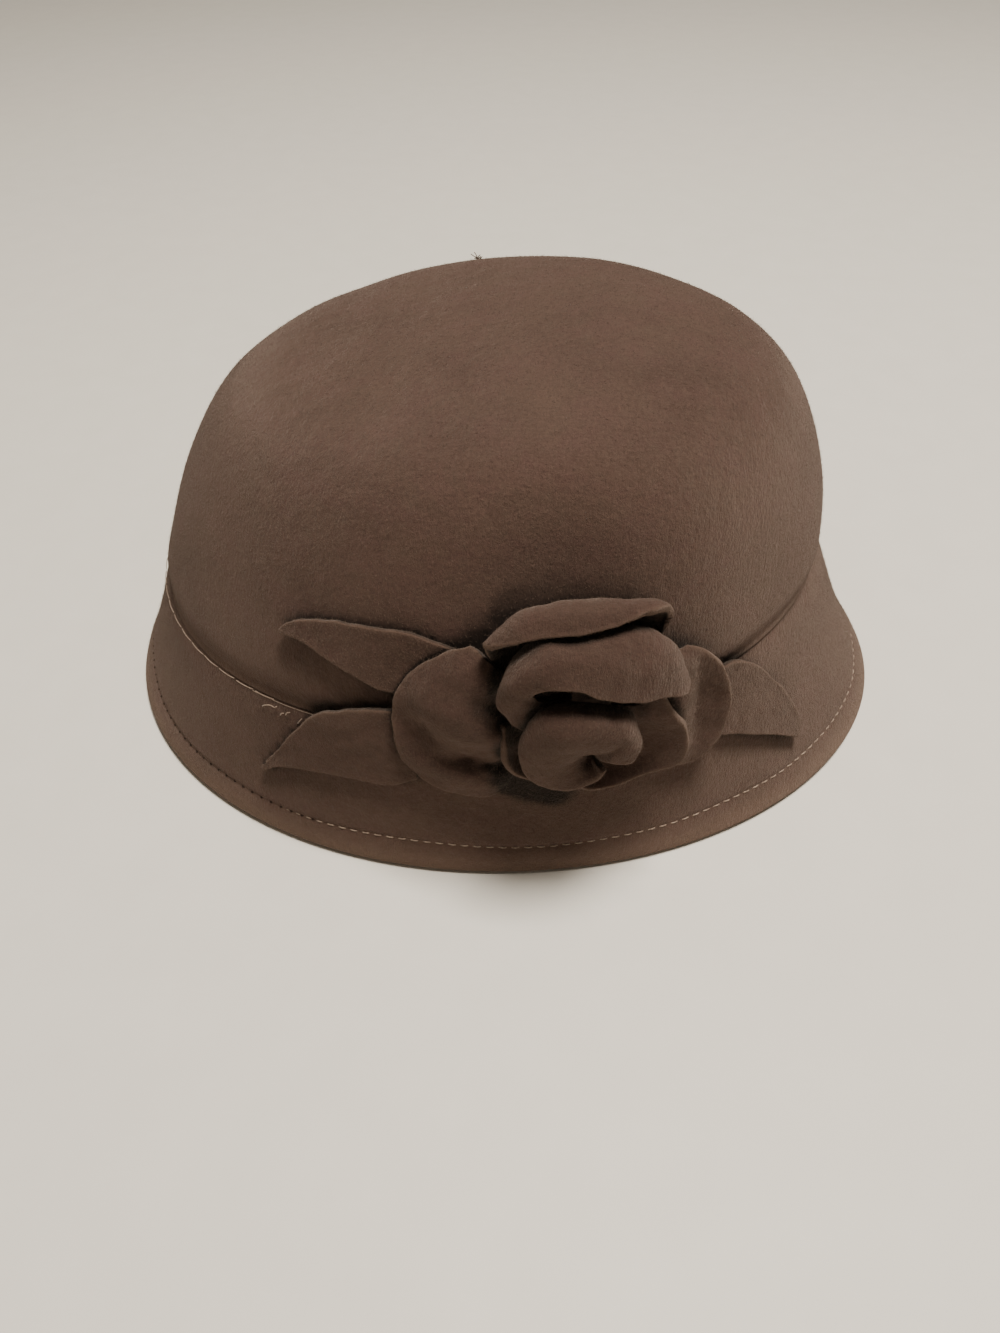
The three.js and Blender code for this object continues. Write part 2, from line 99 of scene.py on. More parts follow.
def crown_line(angle, steps=160):
    """A line up the crown from the seam to the middle of the top."""
    c, s = math.cos(angle), math.sin(angle)
    roundness = ROUND_SIDE + ROUND_FRONT * c
    even = np.linspace(0, 1, steps + 1)
    turns = np.sort(np.concatenate([even * math.pi / 2, np.arccos(even ** (roundness / 2))]))
    across = np.clip(np.cos(turns), 0, 1) ** (2 / roundness)
    across[turns > math.pi / 2 - 1e-9] = 0
    height = np.sin(turns) ** (2 / ROUND_TOP)
    radius = across * (1 - (LEAN_SIDE + LEAN_FRONT * c) * height)
    z = (SEAM_HEIGHT + SEAM_FRONT_RISE * c * (1 - height)
         + CROWN_RISE * height * (1 + CROWN_SLOPE * radius * c) + CROWN_DOME * (1 - radius ** 2))
    return np.stack([-SEAM_HALF_WIDTH * radius * s, -SEAM_HALF_LENGTH * radius * c, z], -1)


def brim_line(angle, steps=120):
    """A line down the brim from the seam to its lower edge."""
    c, s = math.cos(angle), math.sin(angle)
    reach = (RIM_FRONT + RIM_BACK) / 2 + (RIM_FRONT - RIM_BACK) / 2 * c
    start = seam_point(angle)
    t = np.linspace(0, 1, steps + 1)
    w = t - BRIM_HOLLOW * t * (1 - t)
    return np.stack([start[0] + (-RIM_SIDE * s - start[0]) * w,
                     start[1] + (-reach * c - start[1]) * w, start[2] * (1 - t)], -1)


def lengths(line):
    return np.concatenate([[0], np.cumsum(np.linalg.norm(np.diff(line, axis=0), axis=1))])


def at_distances(line, distances):
    """Points at these distances along a line."""
    run = lengths(line)
    return np.stack([np.interp(distances, run, line[:, k]) for k in range(3)], -1)


# The hat's outside as a table: one line of felt for each half degree, one point for each half millimetre.
TABLE_ANGLES = 720
TABLE_STEP = 0.5
TABLE_DOWN, TABLE_UP = 44.0, 60.0
_ups = np.arange(0, TABLE_UP + TABLE_STEP, TABLE_STEP)
_downs = np.arange(TABLE_STEP, TABLE_DOWN + TABLE_STEP, TABLE_STEP)
SURFACE = np.array([
    np.concatenate([at_distances(brim_line(a), _downs)[::-1], at_distances(crown_line(a), _ups)])
    for a in np.linspace(0, 2 * math.pi, TABLE_ANGLES + 1)])
GIRTH = lengths(seam_point(np.linspace(0, 2 * math.pi, TABLE_ANGLES + 1)) * np.array([1, 1, 0]))


def angle_at(along):
    """Angle of a place this far along the seam from the middle of the flower's side, positive to the front."""
    return np.interp(GIRTH[TABLE_ANGLES // 4] - np.asarray(along), GIRTH,
                     np.linspace(0, 2 * math.pi, TABLE_ANGLES + 1))


def felt_point(angle, up):
    """A place on the hat's outside, so far up the felt from the seam (down if negative)."""
    i = np.clip(angle / (2 * math.pi) * TABLE_ANGLES, 0, TABLE_ANGLES - 1e-6)
    j = np.clip((up + TABLE_DOWN) / TABLE_STEP, 0, SURFACE.shape[1] - 1 - 1e-6)
    i0, j0 = i.astype(int), j.astype(int)
    fi, fj = (i - i0)[..., None], (j - j0)[..., None]
    return ((SURFACE[i0, j0] * (1 - fi) + SURFACE[i0 + 1, j0] * fi) * (1 - fj)
            + (SURFACE[i0, j0 + 1] * (1 - fi) + SURFACE[i0 + 1, j0 + 1] * fi) * fj)


def on_hat(places):
    """Places [along the seam, up the felt, out from the felt] to points; out is tilted upwards."""
    places = np.asarray(places, float)
    angle = angle_at(places[..., 0])
    outward = np.stack([-np.sin(angle) / SEAM_HALF_WIDTH, -np.cos(angle) / SEAM_HALF_LENGTH,
                        np.zeros_like(angle)], -1)
    outward *= math.cos(FACE_TILT) / np.linalg.norm(outward, axis=-1, keepdims=True)
    outward[..., 2] = math.sin(FACE_TILT)
    return felt_point(angle, places[..., 1]) + outward * places[..., 2:3]


def waves(points, size, seed, count=9):
    """Smooth unevenness from -1 to 1 over points, with bumps about this many mm apart."""
    rng = np.random.default_rng(seed)
    total = np.zeros(points.shape[:-1])
    for _ in range(count):
        direction = rng.normal(size=3)
        direction *= 2 * math.pi / size / np.linalg.norm(direction) * rng.uniform(0.6, 1.4)
        total += np.sin(points @ direction + rng.uniform(0, 2 * math.pi))
    return total / math.sqrt(count / 2) / 2


def dent(points, centre, radius, depth):
    """A round soft hollow: how far in the felt goes at each point."""
    distance = np.linalg.norm(points - np.asarray(centre), axis=-1)
    return depth * np.exp(-(distance / radius) ** 2)


# -------- meshes

class Sheet:
    """Points and faces gathered row by row, with one number per point that marks cut edges and painted light.
    """

    def __init__(self):
        self.points, self.cut, self.faces, self.count = [], [], [], 0

    def grid(self, points, cut=0):
        """Adds rows of points and returns their numbers."""
        points = np.asarray(points, float)
        shape = points.shape[:-1]
        self.points.append(points.reshape(-1, 3))
        self.cut.append(np.broadcast_to(cut, shape).reshape(-1))
        numbers = np.arange(self.count, self.count + points.size // 3).reshape(shape)
        self.count += points.size // 3
        return numbers

    def skin(self, numbers, closed=False, flip=False):
        """Quads over a grid of point numbers; closed joins its last column to its first."""
        if closed:
            numbers = np.concatenate([numbers, numbers[:, :1]], 1)
        a, b, c, d = numbers[:-1, :-1], numbers[:-1, 1:], numbers[1:, 1:], numbers[1:, :-1]
        quads = np.stack([a, b, c, d] if flip else [a, d, c, b], -1).reshape(-1, 4)
        self.faces.extend(quads.tolist())

    def fan(self, ring, tip, flip=False):
        after = np.roll(ring, -1)
        for a, b in zip(ring.tolist(), after.tolist()):
            self.faces.append((a, b, tip) if flip else (b, a, tip))

    def build(self, name, material):
        mesh = bpy.data.meshes.new(name)
        mesh.from_pydata(to_frame(np.concatenate(self.points)).tolist(), [], self.faces)
        layer = mesh.attributes.new("pale_cut_and_painted_light", "FLOAT", "POINT")
        layer.data.foreach_set("value", np.concatenate(self.cut).astype(np.float32))
        mesh.materials.append(material)
        mesh.polygons.foreach_set("use_smooth", [True] * len(mesh.polygons))
        mesh.update()
        made = bpy.data.objects.new(name, mesh)
        bpy.context.scene.collection.objects.link(made)
        return made


def facing_of(grid, closed):
    """Unit normals of a grid of points, rows first; closed wraps the columns."""
    if closed:
        across = np.roll(grid, -1, 1) - np.roll(grid, 1, 1)
    else:
        across = np.gradient(grid, axis=1)
    normal = np.cross(np.gradient(grid, axis=0), across)
    return normal / np.maximum(np.linalg.norm(normal, axis=-1, keepdims=True), 1e-12)


def through(table, t, axis):
    """Uniform spline through a table's values along one axis, at each t from 0 to 1."""
    values = np.moveaxis(np.asarray(table, float), axis, 0)
    ends = [2 * values[:1] - values[1:2], values, 2 * values[-1:] - values[-2:-1]]
    padded = np.concatenate(ends)
    place = np.clip(t, 0, 1) * (len(values) - 1)
    i = np.minimum(place.astype(int), len(values) - 2)
    f = (place - i).reshape((-1,) + (1,) * (values.ndim - 1))
    a, b, c, d = padded[i], padded[i + 1], padded[i + 2], padded[i + 3]
    made = b + 0.5 * f * (c - a + f * (2 * a - 5 * b + 4 * c - d + f * (3 * (b - c) + d - a)))
    return np.moveaxis(made, 0, axis)


# -------- materials

def felt_material(name, light, dark, rosy, grey, cut_and_lit_tone):
    """Matte wool felt: cloudy brown, a fine tangle of fibres, paler where the felt was cut, with painted light
    and shade.

    light and dark are the cloudy ground, rosy and grey the patches of wear, and the last the tone of a cut
    edge and of painted light along the brim's rim.
    """
    material = bpy.data.materials.new(name)
    material.use_nodes = True
    nodes, links = material.node_tree.nodes, material.node_tree.links
    shader = nodes["Principled BSDF"]
    shader.inputs["Roughness"].default_value = 0.95
    shader.inputs["Specular IOR Level"].default_value = 0.15
    shader.inputs["Sheen Weight"].default_value = 0.25
    shader.inputs["Sheen Roughness"].default_value = 0.45
    shader.inputs["Sheen Tint"].default_value = (0.80, 0.66, 0.56, 1)
    place = nodes.new("ShaderNodeTexCoord")

    def noise(scale, detail, rough, stretch=None):
        made = nodes.new("ShaderNodeTexNoise")
        made.inputs["Scale"].default_value = scale
        made.inputs["Detail"].default_value = detail
        made.inputs["Roughness"].default_value = rough
        if stretch:
            mapping = nodes.new("ShaderNodeMapping")
            mapping.inputs["Rotation"].default_value = stretch[0]
            mapping.inputs["Scale"].default_value = stretch[1]
            links.new(place.outputs["Object"], mapping.inputs["Vector"])
            links.new(mapping.outputs["Vector"], made.inputs["Vector"])
        else:
            links.new(place.outputs["Object"], made.inputs["Vector"])
        return made.outputs["Fac"]

    def ramp(source, low, high):
        made = nodes.new("ShaderNodeMapRange")
        made.inputs["From Min"].default_value = low
        made.inputs["From Max"].default_value = high
        links.new(source, made.inputs["Value"])
        return made.outputs["Result"]

    def mix(factor, first, second, mode="MIX"):
        made = nodes.new("ShaderNodeMix")
        made.data_type = "RGBA"
        made.blend_type = mode
        for value, socket in ((factor, made.inputs[0]), (first, made.inputs[6]), (second, made.inputs[7])):
            if isinstance(value, (float, int)):
                socket.default_value = value
            elif isinstance(value, tuple):
                socket.default_value = (*value, 1)
            else:
                links.new(value, socket)
        return made.outputs[2]

    def times(value, by):
        made = nodes.new("ShaderNodeMath")
        made.operation = "MULTIPLY"
        links.new(value, made.inputs[0])
        if isinstance(by, (float, int)):
            made.inputs[1].default_value = by
        else:
            links.new(by, made.inputs[1])
        return made.outputs[0]

    # From the broadest unevenness of the dye down to single fibres that lie in two directions.
    cloud = ramp(noise(26, 3, 0.55), 0.34, 0.66)
    patch = ramp(noise(70, 4, 0.65, ((0.3, 0.5, 0.2), (1, 1, 2.2))), 0.42, 0.66)
    bloom = ramp(noise(190, 4, 0.7, ((0.9, 0.1, 0.4), (1, 1.6, 1))), 0.46, 0.72)
    speck = ramp(noise(1100, 4, 0.75), 0.38, 0.66)
    fibre = ramp(noise(460, 4, 0.8, ((0.7, 0.2, 1.1), (1, 5, 1.4))), 0.36, 0.68)
    fibre_other = ramp(noise(420, 4, 0.8, ((1.3, 0.9, 0.3), (4.5, 1, 1.2))), 0.40, 0.68)
    colour = mix(cloud, dark, light)
    colour = mix(times(patch, 0.6), colour, rosy)
    colour = mix(times(bloom, 0.35), colour, grey)
    colour = mix(times(speck, 0.42), colour, tuple(1.4 * v for v in light))
    colour = mix(times(fibre, 0.36), colour, tuple(0.62 * v for v in dark))
    colour = mix(times(fibre_other, 0.28), colour, tuple(1.55 * v for v in light))
    # Paler at cut edges, and paler where painted light lies along the brim's rim.
    cut = nodes.new("ShaderNodeAttribute")
    cut.attribute_name = "pale_cut_and_painted_light"
    colour = mix(times(cut.outputs["Fac"], 0.5), colour, cut_and_lit_tone)
    # Painted shade: the felt is darkened towards near-black deep in folds and in the hollow under the bud.
    fold_shade = nodes.new("ShaderNodeAttribute")
    fold_shade.attribute_name = "painted_fold_shade"
    colour = mix(fold_shade.outputs["Fac"], colour, tuple(0.10 * v for v in dark))
    links.new(colour, shader.inputs["Base Color"])

    fuzz = nodes.new("ShaderNodeMath")
    fuzz.operation = "ADD"
    links.new(times(speck, 0.6), fuzz.inputs[0])
    links.new(fibre, fuzz.inputs[1])
    fine = nodes.new("ShaderNodeBump")
    fine.inputs["Strength"].default_value = 0.6
    fine.inputs["Distance"].default_value = 0.0006
    links.new(fuzz.outputs[0], fine.inputs["Height"])
    broad = nodes.new("ShaderNodeBump")
    broad.inputs["Strength"].default_value = 0.45
    broad.inputs["Distance"].default_value = 0.0012
    links.new(noise(160, 3, 0.6), broad.inputs["Height"])
    links.new(fine.outputs["Normal"], broad.inputs["Normal"])
    links.new(broad.outputs["Normal"], shader.inputs["Normal"])
    return material


def speckled_material(name, roughness, scale, detail, dark, light, bump=None):
    """A finish that wanders between two tones (place on the ramp, colour), with a bump (strength, metres)."""
    material = bpy.data.materials.new(name)
    material.use_nodes = True
    nodes, links = material.node_tree.nodes, material.node_tree.links
    shader = nodes["Principled BSDF"]
    shader.inputs["Roughness"].default_value = roughness
    place = nodes.new("ShaderNodeTexCoord")
    flecks = nodes.new("ShaderNodeTexNoise")
    flecks.inputs["Scale"].default_value = scale
    flecks.inputs["Detail"].default_value = detail
    links.new(place.outputs["Object"], flecks.inputs["Vector"])
    tone = nodes.new("ShaderNodeValToRGB")
    for stop, (position, colour) in zip(tone.color_ramp.elements, (dark, light)):
        stop.position = position
        stop.color = (*colour, 1)
    links.new(flecks.outputs["Fac"], tone.inputs["Fac"])
    links.new(tone.outputs["Color"], shader.inputs["Base Color"])
    if bump:
        strength, depth = bump
        rough = nodes.new("ShaderNodeBump")
        rough.inputs["Strength"].default_value = strength
        rough.inputs["Distance"].default_value = depth
        links.new(flecks.outputs["Fac"], rough.inputs["Height"])
        links.new(rough.outputs["Normal"], shader.inputs["Normal"])
    return material


def sewing_thread():
    """Pale sewing thread, slightly glossy, with its plies showing as darker flecks."""
    material = speckled_material("sewing_thread", 0.6, 1800, 2, (0.35, (0.20, 0.135, 0.10)),
                                 (0.65, (0.36, 0.27, 0.20)), (0.4, 0.0001))
    material.node_tree.nodes["Principled BSDF"].inputs["Sheen Weight"].default_value = 0.2
    return material


def loose_wool_fibre(name, colour):
    """Loose wool in one shade, slightly uneven from fibre to fibre."""
    darker = tuple(0.6 * v for v in colour)
    material = speckled_material(name, 0.9, 700, 2, (0.3, darker), (0.7, colour))
    material.node_tree.nodes["Principled BSDF"].inputs["Specular IOR Level"].default_value = 0.15
    return material


hat_felt = felt_material(
    "brown_wool_felt", light=(0.098, 0.060, 0.046), dark=(0.065, 0.037, 0.029), rosy=(0.098, 0.050, 0.045),
    grey=(0.100, 0.074, 0.054), cut_and_lit_tone=(0.20, 0.13, 0.095))
flower_felt = felt_material(
    "brown_flower_felt", light=(0.080, 0.047, 0.036), dark=(0.056, 0.032, 0.025), rosy=(0.080, 0.040, 0.034),
    grey=(0.079, 0.054, 0.040), cut_and_lit_tone=(0.17, 0.11, 0.08))
thread = sewing_thread()
loose_wool = loose_wool_fibre("loose_wool_fibre", (0.20, 0.14, 0.108))
# Painted shade: near-black felt for the dashes that stand for the dark needle holes.
hole_shade_wool = loose_wool_fibre("needle_hole_painted_shade", (0.030, 0.018, 0.014))

# -------- crown and brim

AROUND = 320
CROWN_ROWS = 100
# The rows below this one are left out of the wall: the rounded cut edge takes their place.
EDGE_ROW = 2
# Soft hollows pressed into the crown: (middle, radius, depth).
CROWN_DENTS = [((-75, 62, 78), 20, 1.5), (on_hat([28, 41, 0]), 17, 3.6)]


def make_crown():
    """The crown's felt wall, closed at the top, its cut edge rounded; also returns its outside points."""
    angles = np.arange(AROUND) / AROUND * 2 * math.pi
    shares = np.linspace(0, 1, CROWN_ROWS + 1)[:-1]
    outer = np.stack([at_distances(line, shares * lengths(line)[-1])
                      for line in (crown_line(a) for a in angles)], 1)
    facing = facing_of(outer, True)
    shift = 0.5 * waves(outer, 70, 3) + 0.25 * waves(outer, 28, 4)
    for centre, radius, depth in CROWN_DENTS:
        shift = shift - dent(outer, centre, radius, depth)
    fade = np.clip(shares / 0.03, 0, 1)[:, None]
    # The felt is pared thinner towards its cut edge, so that the lap shows as a low step.
    pared = EDGE_PARED * np.clip(1 - (shares - shares[EDGE_ROW]) / 0.05, 0, 1)[:, None] ** 2
    whole = outer + facing * (shift * fade)[..., None]
    outer = whole - facing * pared[..., None]
    # The cut lower edge is rounded through half a turn from the outside to the inside.
    turns = np.linspace(0, math.pi, 9)[1:-1]
    reach = np.linalg.norm(outer[0] - outer[EDGE_ROW], axis=-1, keepdims=True)
    down = (outer[0] - outer[EDGE_ROW]) / reach
    half_edge = (FELT - pared[EDGE_ROW, 0]) / 2
    middle = outer[EDGE_ROW] - facing[EDGE_ROW] * half_edge
    edge = np.stack([
        middle + facing[EDGE_ROW] * half_edge * math.copysign(abs(math.cos(a)) ** 0.7, math.cos(a))
        + down * reach * math.sin(a) ** 0.7 for a in turns])
    wall = slice(EDGE_ROW, None)
    inner = whole[wall] - facing[wall] * FELT
    inner = inner + facing[wall] * (0.3 * waves(inner, 40, 5))[..., None] * fade[wall][..., None]
    top = outer[-1].mean(0)
    sheet = Sheet()
    outside = sheet.grid(outer[wall])
    border = sheet.grid(edge, 0.5)
    inside = sheet.grid(inner)
    tip = sheet.grid(top[None, None] + np.array([0, 0, 0.02]))[0, 0]
    tip_in = sheet.grid(top[None, None] - np.array([0, 0, FELT]))[0, 0]
    sheet.skin(outside, True)
    sheet.skin(np.concatenate([outside[:1], border, inside[:1]])[::-1], True)
    sheet.skin(inside, True, flip=True)
    sheet.fan(outside[-1], tip)
    sheet.fan(inside[-1], tip_in, flip=True)
    return sheet.build("crown_felt", hat_felt), outer[wall]


crown, CROWN_OUTSIDE = make_crown()


# The brim's wall starts this far above the table; the turned fold lies below it.
RIM_START = 2.4
# Up to here the brim's rows are level with the rim, so that hem, groove and stitches run level too.
LEVEL_TOP = 16.0
LEVEL_ROWS, UPPER_ROWS = 35, 30


def make_brim():
    """The brim with its edge folded up inside and stitched, and its upper edge tucked into the crown.

    Also returns the outside points, and the stitched row with the way out of the felt along it.
    """
    angles = np.arange(AROUND) / AROUND * 2 * math.pi
    step_back = FELT + LAP_GAP
    rows_low = np.linspace(RIM_START, LEVEL_TOP, LEVEL_ROWS)
    shares = np.linspace(0, 1, UPPER_ROWS + 1)[1:] ** 0.85
    lines = [brim_line(a)[::-1] for a in angles]
    hanging = np.stack([
        at_distances(line, np.concatenate([rows_low, LEVEL_TOP + shares * (lengths(line)[-1] - LEVEL_TOP)]))
        for line in lines], 1)
    # How far each row is above the rim (far, for the rows above the level ones), and its share of the way up.
    rises = np.concatenate([rows_low, np.full(len(shares), 99.0)])
    below = np.concatenate([np.zeros(len(rows_low)), shares])
    level = facing_of(hanging, True)
    level[..., 2] = 0
    level /= np.linalg.norm(level, axis=-1, keepdims=True) ** 2
    back = step_back * np.clip((below - 0.80) / 0.20, 0, 1) ** 2.2
    hem_puff = 0.30 * np.exp(-((rises - 6.0) / 3.2) ** 2)
    groove = 0.38 * np.exp(-((rises - STITCH_ABOVE_RIM) / 0.9) ** 2)
    uneven = 0.55 * waves(hanging, 80, 11) + 0.25 * waves(hanging, 30, 12)
    fade = np.clip((rises - RIM_START) / 6, 0, 1) * np.clip((1 - below) / 0.12, 0, 1)
    out = (hem_puff - groove - back)[:, None] + uneven * fade[:, None]
    outer = hanging + level * out[..., None]
    tucked = np.stack([at_distances(crown_line(a), [1.5, LAP / 2, LAP]) for a in angles], 1)
    tucked_facing = facing_of(tucked, True)
    tucked_out = tucked - tucked_facing * step_back
    tucked_in = tucked - tucked_facing * (step_back + FELT)
    # The fold at the rim is half a circle from the outside round to the hem.
    turns = np.linspace(0, math.pi, 13)[1:-1]
    rim = outer[0] * np.array([1, 1, 0])
    fold = np.stack([rim + level[0] * (FELT * (math.cos(a) - 1)) + np.array([0, 0, FELT * (1 - math.sin(a))])
                     for a in turns])
    hem_rows = rises < HEM + 0.6
    hem = outer[hem_rows] - level[hem_rows] * 2 * FELT
    inner = outer[~hem_rows] - level[~hem_rows] * FELT
    # The hem's cut top edge, its two corners a little worn.
    hem_top = outer[hem_rows][-1] + np.array([0, 0, 0.5])
    step = np.stack([hem_top - level[hem_rows][-1] * depth for depth in (2 * FELT - 0.7, FELT + 0.7)])
    # Painted light: a pale band just above the rim stands in for light thrown up onto it from the table.
    rim_light_paint = 0.95 * np.exp(-((rises - 3.5) / 4.5) ** 2)[:, None]
    loop = [
        # points, how pale: cut edges, and painted light along the rim
        (fold[::-1], rim_light_paint[0]),
        (outer, rim_light_paint),
        (tucked_out[1:], 0),
        (tucked_in[1:][::-1], 0.5),
        (inner[::-1], 0),
        (step[::-1], 1),
        (hem[::-1], 0),
    ]
    sheet = Sheet()
    numbers = [sheet.grid(points, pale) for points, pale in loop]
    sheet.skin(np.concatenate(numbers + [numbers[0][:1]]), True)
    stitch_row = int(np.argmin(abs(rises - STITCH_ABOVE_RIM)))
    return sheet.build("brim_felt", hat_felt), outer, outer[stitch_row], facing_of(outer, True)[stitch_row]


brim, BRIM_OUTSIDE, STITCH_LINE, STITCH_FACING = make_brim()

# -------- flower and leaves

# Places are [along the seam, up the felt from the seam, out from the felt] in mm.
# Each row of a petal runs from its root, under the flower, to its rim.
PETAL_LEFT = [
    # root          near          middle          far            rim
    [[17, -7, 1.8], [16, -10, 2], [15, -12, 2.2], [14, -14, 2.6], [14, -16.5, 2.4]],
    [[17, -4, 1.8], [14, -9, 2], [11, -12, 3.4], [9, -15, 4.2], [6, -18, 2.6]],
    [[17, -2, 1.8], [13, -7, 1.8], [8, -10, 4], [2, -13, 5], [-3, -15, 2.8]],
    [[17, 1, 2], [12, -3, 5], [4, -4, 2.4], [-4, -7, 5], [-11, -7, 3]],
    [[17, 4, 2.4], [11, 2, 8.5], [2, 3, 8], [-5, 3, 3.4], [-14, 4, 3]],
    [[17, 7, 2.4], [12, 7, 6], [3, 9, 9.5], [-5, 11, 7], [-12.5, 14, 3]],
    [[17, 10, 2.4], [13, 11, 3.2], [7, 14, 8], [0, 17.5, 7], [-7.5, 20.5, 3.2]],
    [[17, 13, 2.4], [14, 14, 4.8], [10, 18, 8], [4.5, 22, 7], [0, 24.8, 3.5]],
    [[17, 16, 2.4], [15, 18, 5], [13, 21, 6.5], [10, 24.5, 6], [6.5, 27, 4.5]],
]
PETAL_BACK = [
    # root          back          crest           face           rim
    [[16, 17, 3], [12, 22, 5], [10, 26.5, 9], [10, 28, 11], [11, 28, 13]],
    [[20, 17, 2.4], [16, 27, 3.5], [14, 31, 9.5], [14, 30.8, 12.5], [15, 28.5, 15]],
    [[24, 18, 2.4], [21, 31, 3.5], [19, 35, 10], [19.5, 33.5, 14], [21, 29.6, 16.5]],
    [[29, 19, 2.4], [28, 32, 3.5], [27, 36, 10.5], [28, 34, 15], [29, 29.6, 17.5]],
    [[34, 20, 2.4], [35, 32, 3.5], [35.5, 35.4, 10.5], [35.5, 33.5, 15], [36, 29.8, 17]],
    [[39, 20, 2.4], [40.5, 30, 4], [42.5, 33.5, 10.5], [43, 33, 14], [43.5, 31, 16]],
    [[43, 18, 2.6], [46, 26, 5], [48.5, 31.5, 10], [48.7, 32, 12.5], [49, 31, 14.5]],
    [[45, 16, 3], [48.5, 22, 6], [51, 27, 9], [51.6, 29, 10.5], [51.5, 29.5, 12]],
    [[46, 15, 4], [48.5, 19, 6], [50.5, 23, 8], [51.4, 25.5, 9.5], [51.8, 27, 10.5]],
]
PETAL_UPPER = [
    # back          crest         face            brow           rim
    [[24, 7, 7], [25, 9, 9.5], [26, 11, 11], [28, 12, 12.5], [29, 14, 13.5]],
    [[19, 5, 7.5], [18, 6, 11], [19, 9, 14], [21, 11.5, 14.5], [22, 13.5, 14.5]],
    [[17, 9, 7], [14, 11.5, 12], [14, 13, 15], [17, 13.5, 17], [19.5, 15.5, 16]],
    [[17, 16, 6.5], [14, 16.5, 12], [14, 18, 15], [16, 18, 18.5], [20, 17, 18.5]],
    [[20, 21, 6.5], [16, 22, 12], [17, 23.5, 15], [19, 22, 19.5], [23, 17.5, 21]],
    [[24, 24, 6.5], [21, 27.5, 12], [22, 28, 15], [24, 24, 20], [26, 17, 22]],
    [[29, 24, 6.5], [29, 28.5, 12], [29, 28, 15.5], [30, 23, 20.5], [29, 15.5, 22.5]],
    [[34, 24, 6.5], [36, 28.5, 12], [36, 27, 16], [36, 21, 20.5], [34, 12, 22.5]],
    [[39, 24, 6.5], [42, 27.5, 12], [43, 26, 16], [42, 19, 20], [41, 9.5, 22]],
    [[44, 22, 6.5], [48, 24, 12], [49, 22, 15.5], [48, 17, 19], [46, 9, 21]],
    [[47, 17, 6.5], [52, 18, 12.5], [52, 16, 15.5], [51, 13, 18], [50, 8, 20]],
    [[49, 12, 7.5], [52, 13, 12], [53, 12, 15], [53, 10, 17], [52, 8, 18.5]],
]
BUD = [
    # throat         mouth            face             crest            rim
    [[33, -7, 11.5], [33.5, -8, 13.5], [34, -9, 15], [34.3, -9.8, 15.7], [34.5, -10.2, 16]],
    [[32.5, -6.5, 11], [32.5, -8.8, 13], [32.5, -10.8, 14.2], [32.3, -12, 14.6], [32.3, -12.8, 14.6]],
    [[31.5, -6, 11], [30, -9, 13], [28.5, -12, 13.4], [27.8, -14, 13.3], [27.5, -14.8, 13]],
    [[31, -5.5, 11.5], [27.5, -7.8, 14], [24.5, -10.4, 13.8], [22.4, -12.2, 13], [21.8, -12.8, 12.5]],
    [[30.5, -5, 12], [25.5, -5.8, 15.5], [21.2, -7, 15.4], [19, -7.8, 14.2], [18.3, -8.2, 13.5]],
    [[30.5, -4.6, 12.5], [25.5, -3.5, 17.5], [20.8, -2.3, 17.8], [18.2, -2, 16.4], [17.3, -2, 15.2]],
    [[30.5, -4.3, 13], [26.5, -1, 19.4], [21.6, 2.5, 19.8], [18.8, 5, 17.5], [18.6, 5, 15.2]],
    [[31, -4.2, 13.5], [28.5, 0.2, 20.8], [25, 5.8, 21.5], [21.7, 10, 18], [22.2, 9.6, 15]],
    [[31.5, -4.2, 13.5], [31, 0.5, 21.2], [29.5, 6.5, 22], [27.5, 11, 18], [28, 10.5, 14.5]],
    [[32, -4.2, 13.5], [33.8, 0, 21.2], [34, 5, 22], [34, 9, 18], [33.5, 8.5, 14.5]],
    [[32.5, -4.4, 13.5], [36, -1, 21], [38, 3, 21.5], [39, 6.5, 18], [38.3, 6, 14.5]],
    [[33, -4.8, 13.5], [36.5, -2.3, 20.8], [39.5, 0, 21], [40.8, 2, 18], [40.2, 2, 15]],
    [[33.5, -5.4, 13.5], [36.2, -4.6, 20.3], [39.5, -3.3, 21], [41.2, -3.2, 19], [40.5, -3.3, 16.5]],
    [[34, -6.4, 13.5], [35.5, -6.8, 18.5], [37.5, -7.6, 19.8], [39, -7.6, 19.5], [40, -7, 18.4]],
]
CUP_PETAL = [
    # root          belly           rim
    [[20, 4, 3], [16, 5, 5.5], [13.5, 6, 8]],
    [[21, 1, 3], [16, 0, 5.2], [13.5, 0, 9]],
    [[22, -3, 3], [16, -4.5, 5], [13.5, -5.5, 9]],
    [[24, -5.5, 3], [19, -8, 5], [16, -10, 8.4]],
    [[27, -7, 3], [23.5, -10.5, 5], [20.5, -13.3, 8]],
    [[31, -8, 3], [29, -12.5, 5], [27, -15.6, 8]],
    [[34, -9, 3], [35, -14, 5], [34, -19, 8.4]],
    [[38, -8, 3], [42, -13, 6], [45, -17.5, 9.6]],
    [[40, -6, 3], [47, -10, 7.5], [52.5, -16.5, 11.5]],
    [[41, -3, 3], [49, -7, 8.5], [54.5, -11.5, 13.5]],
    [[41, 0, 3], [48, -2, 9], [54.5, -5, 14]],
    [[40, 3, 3], [46, 2, 9], [51.5, 2, 14]],
    [[40, 6, 3], [45, 6, 9], [49, 8.5, 13.5]],
]
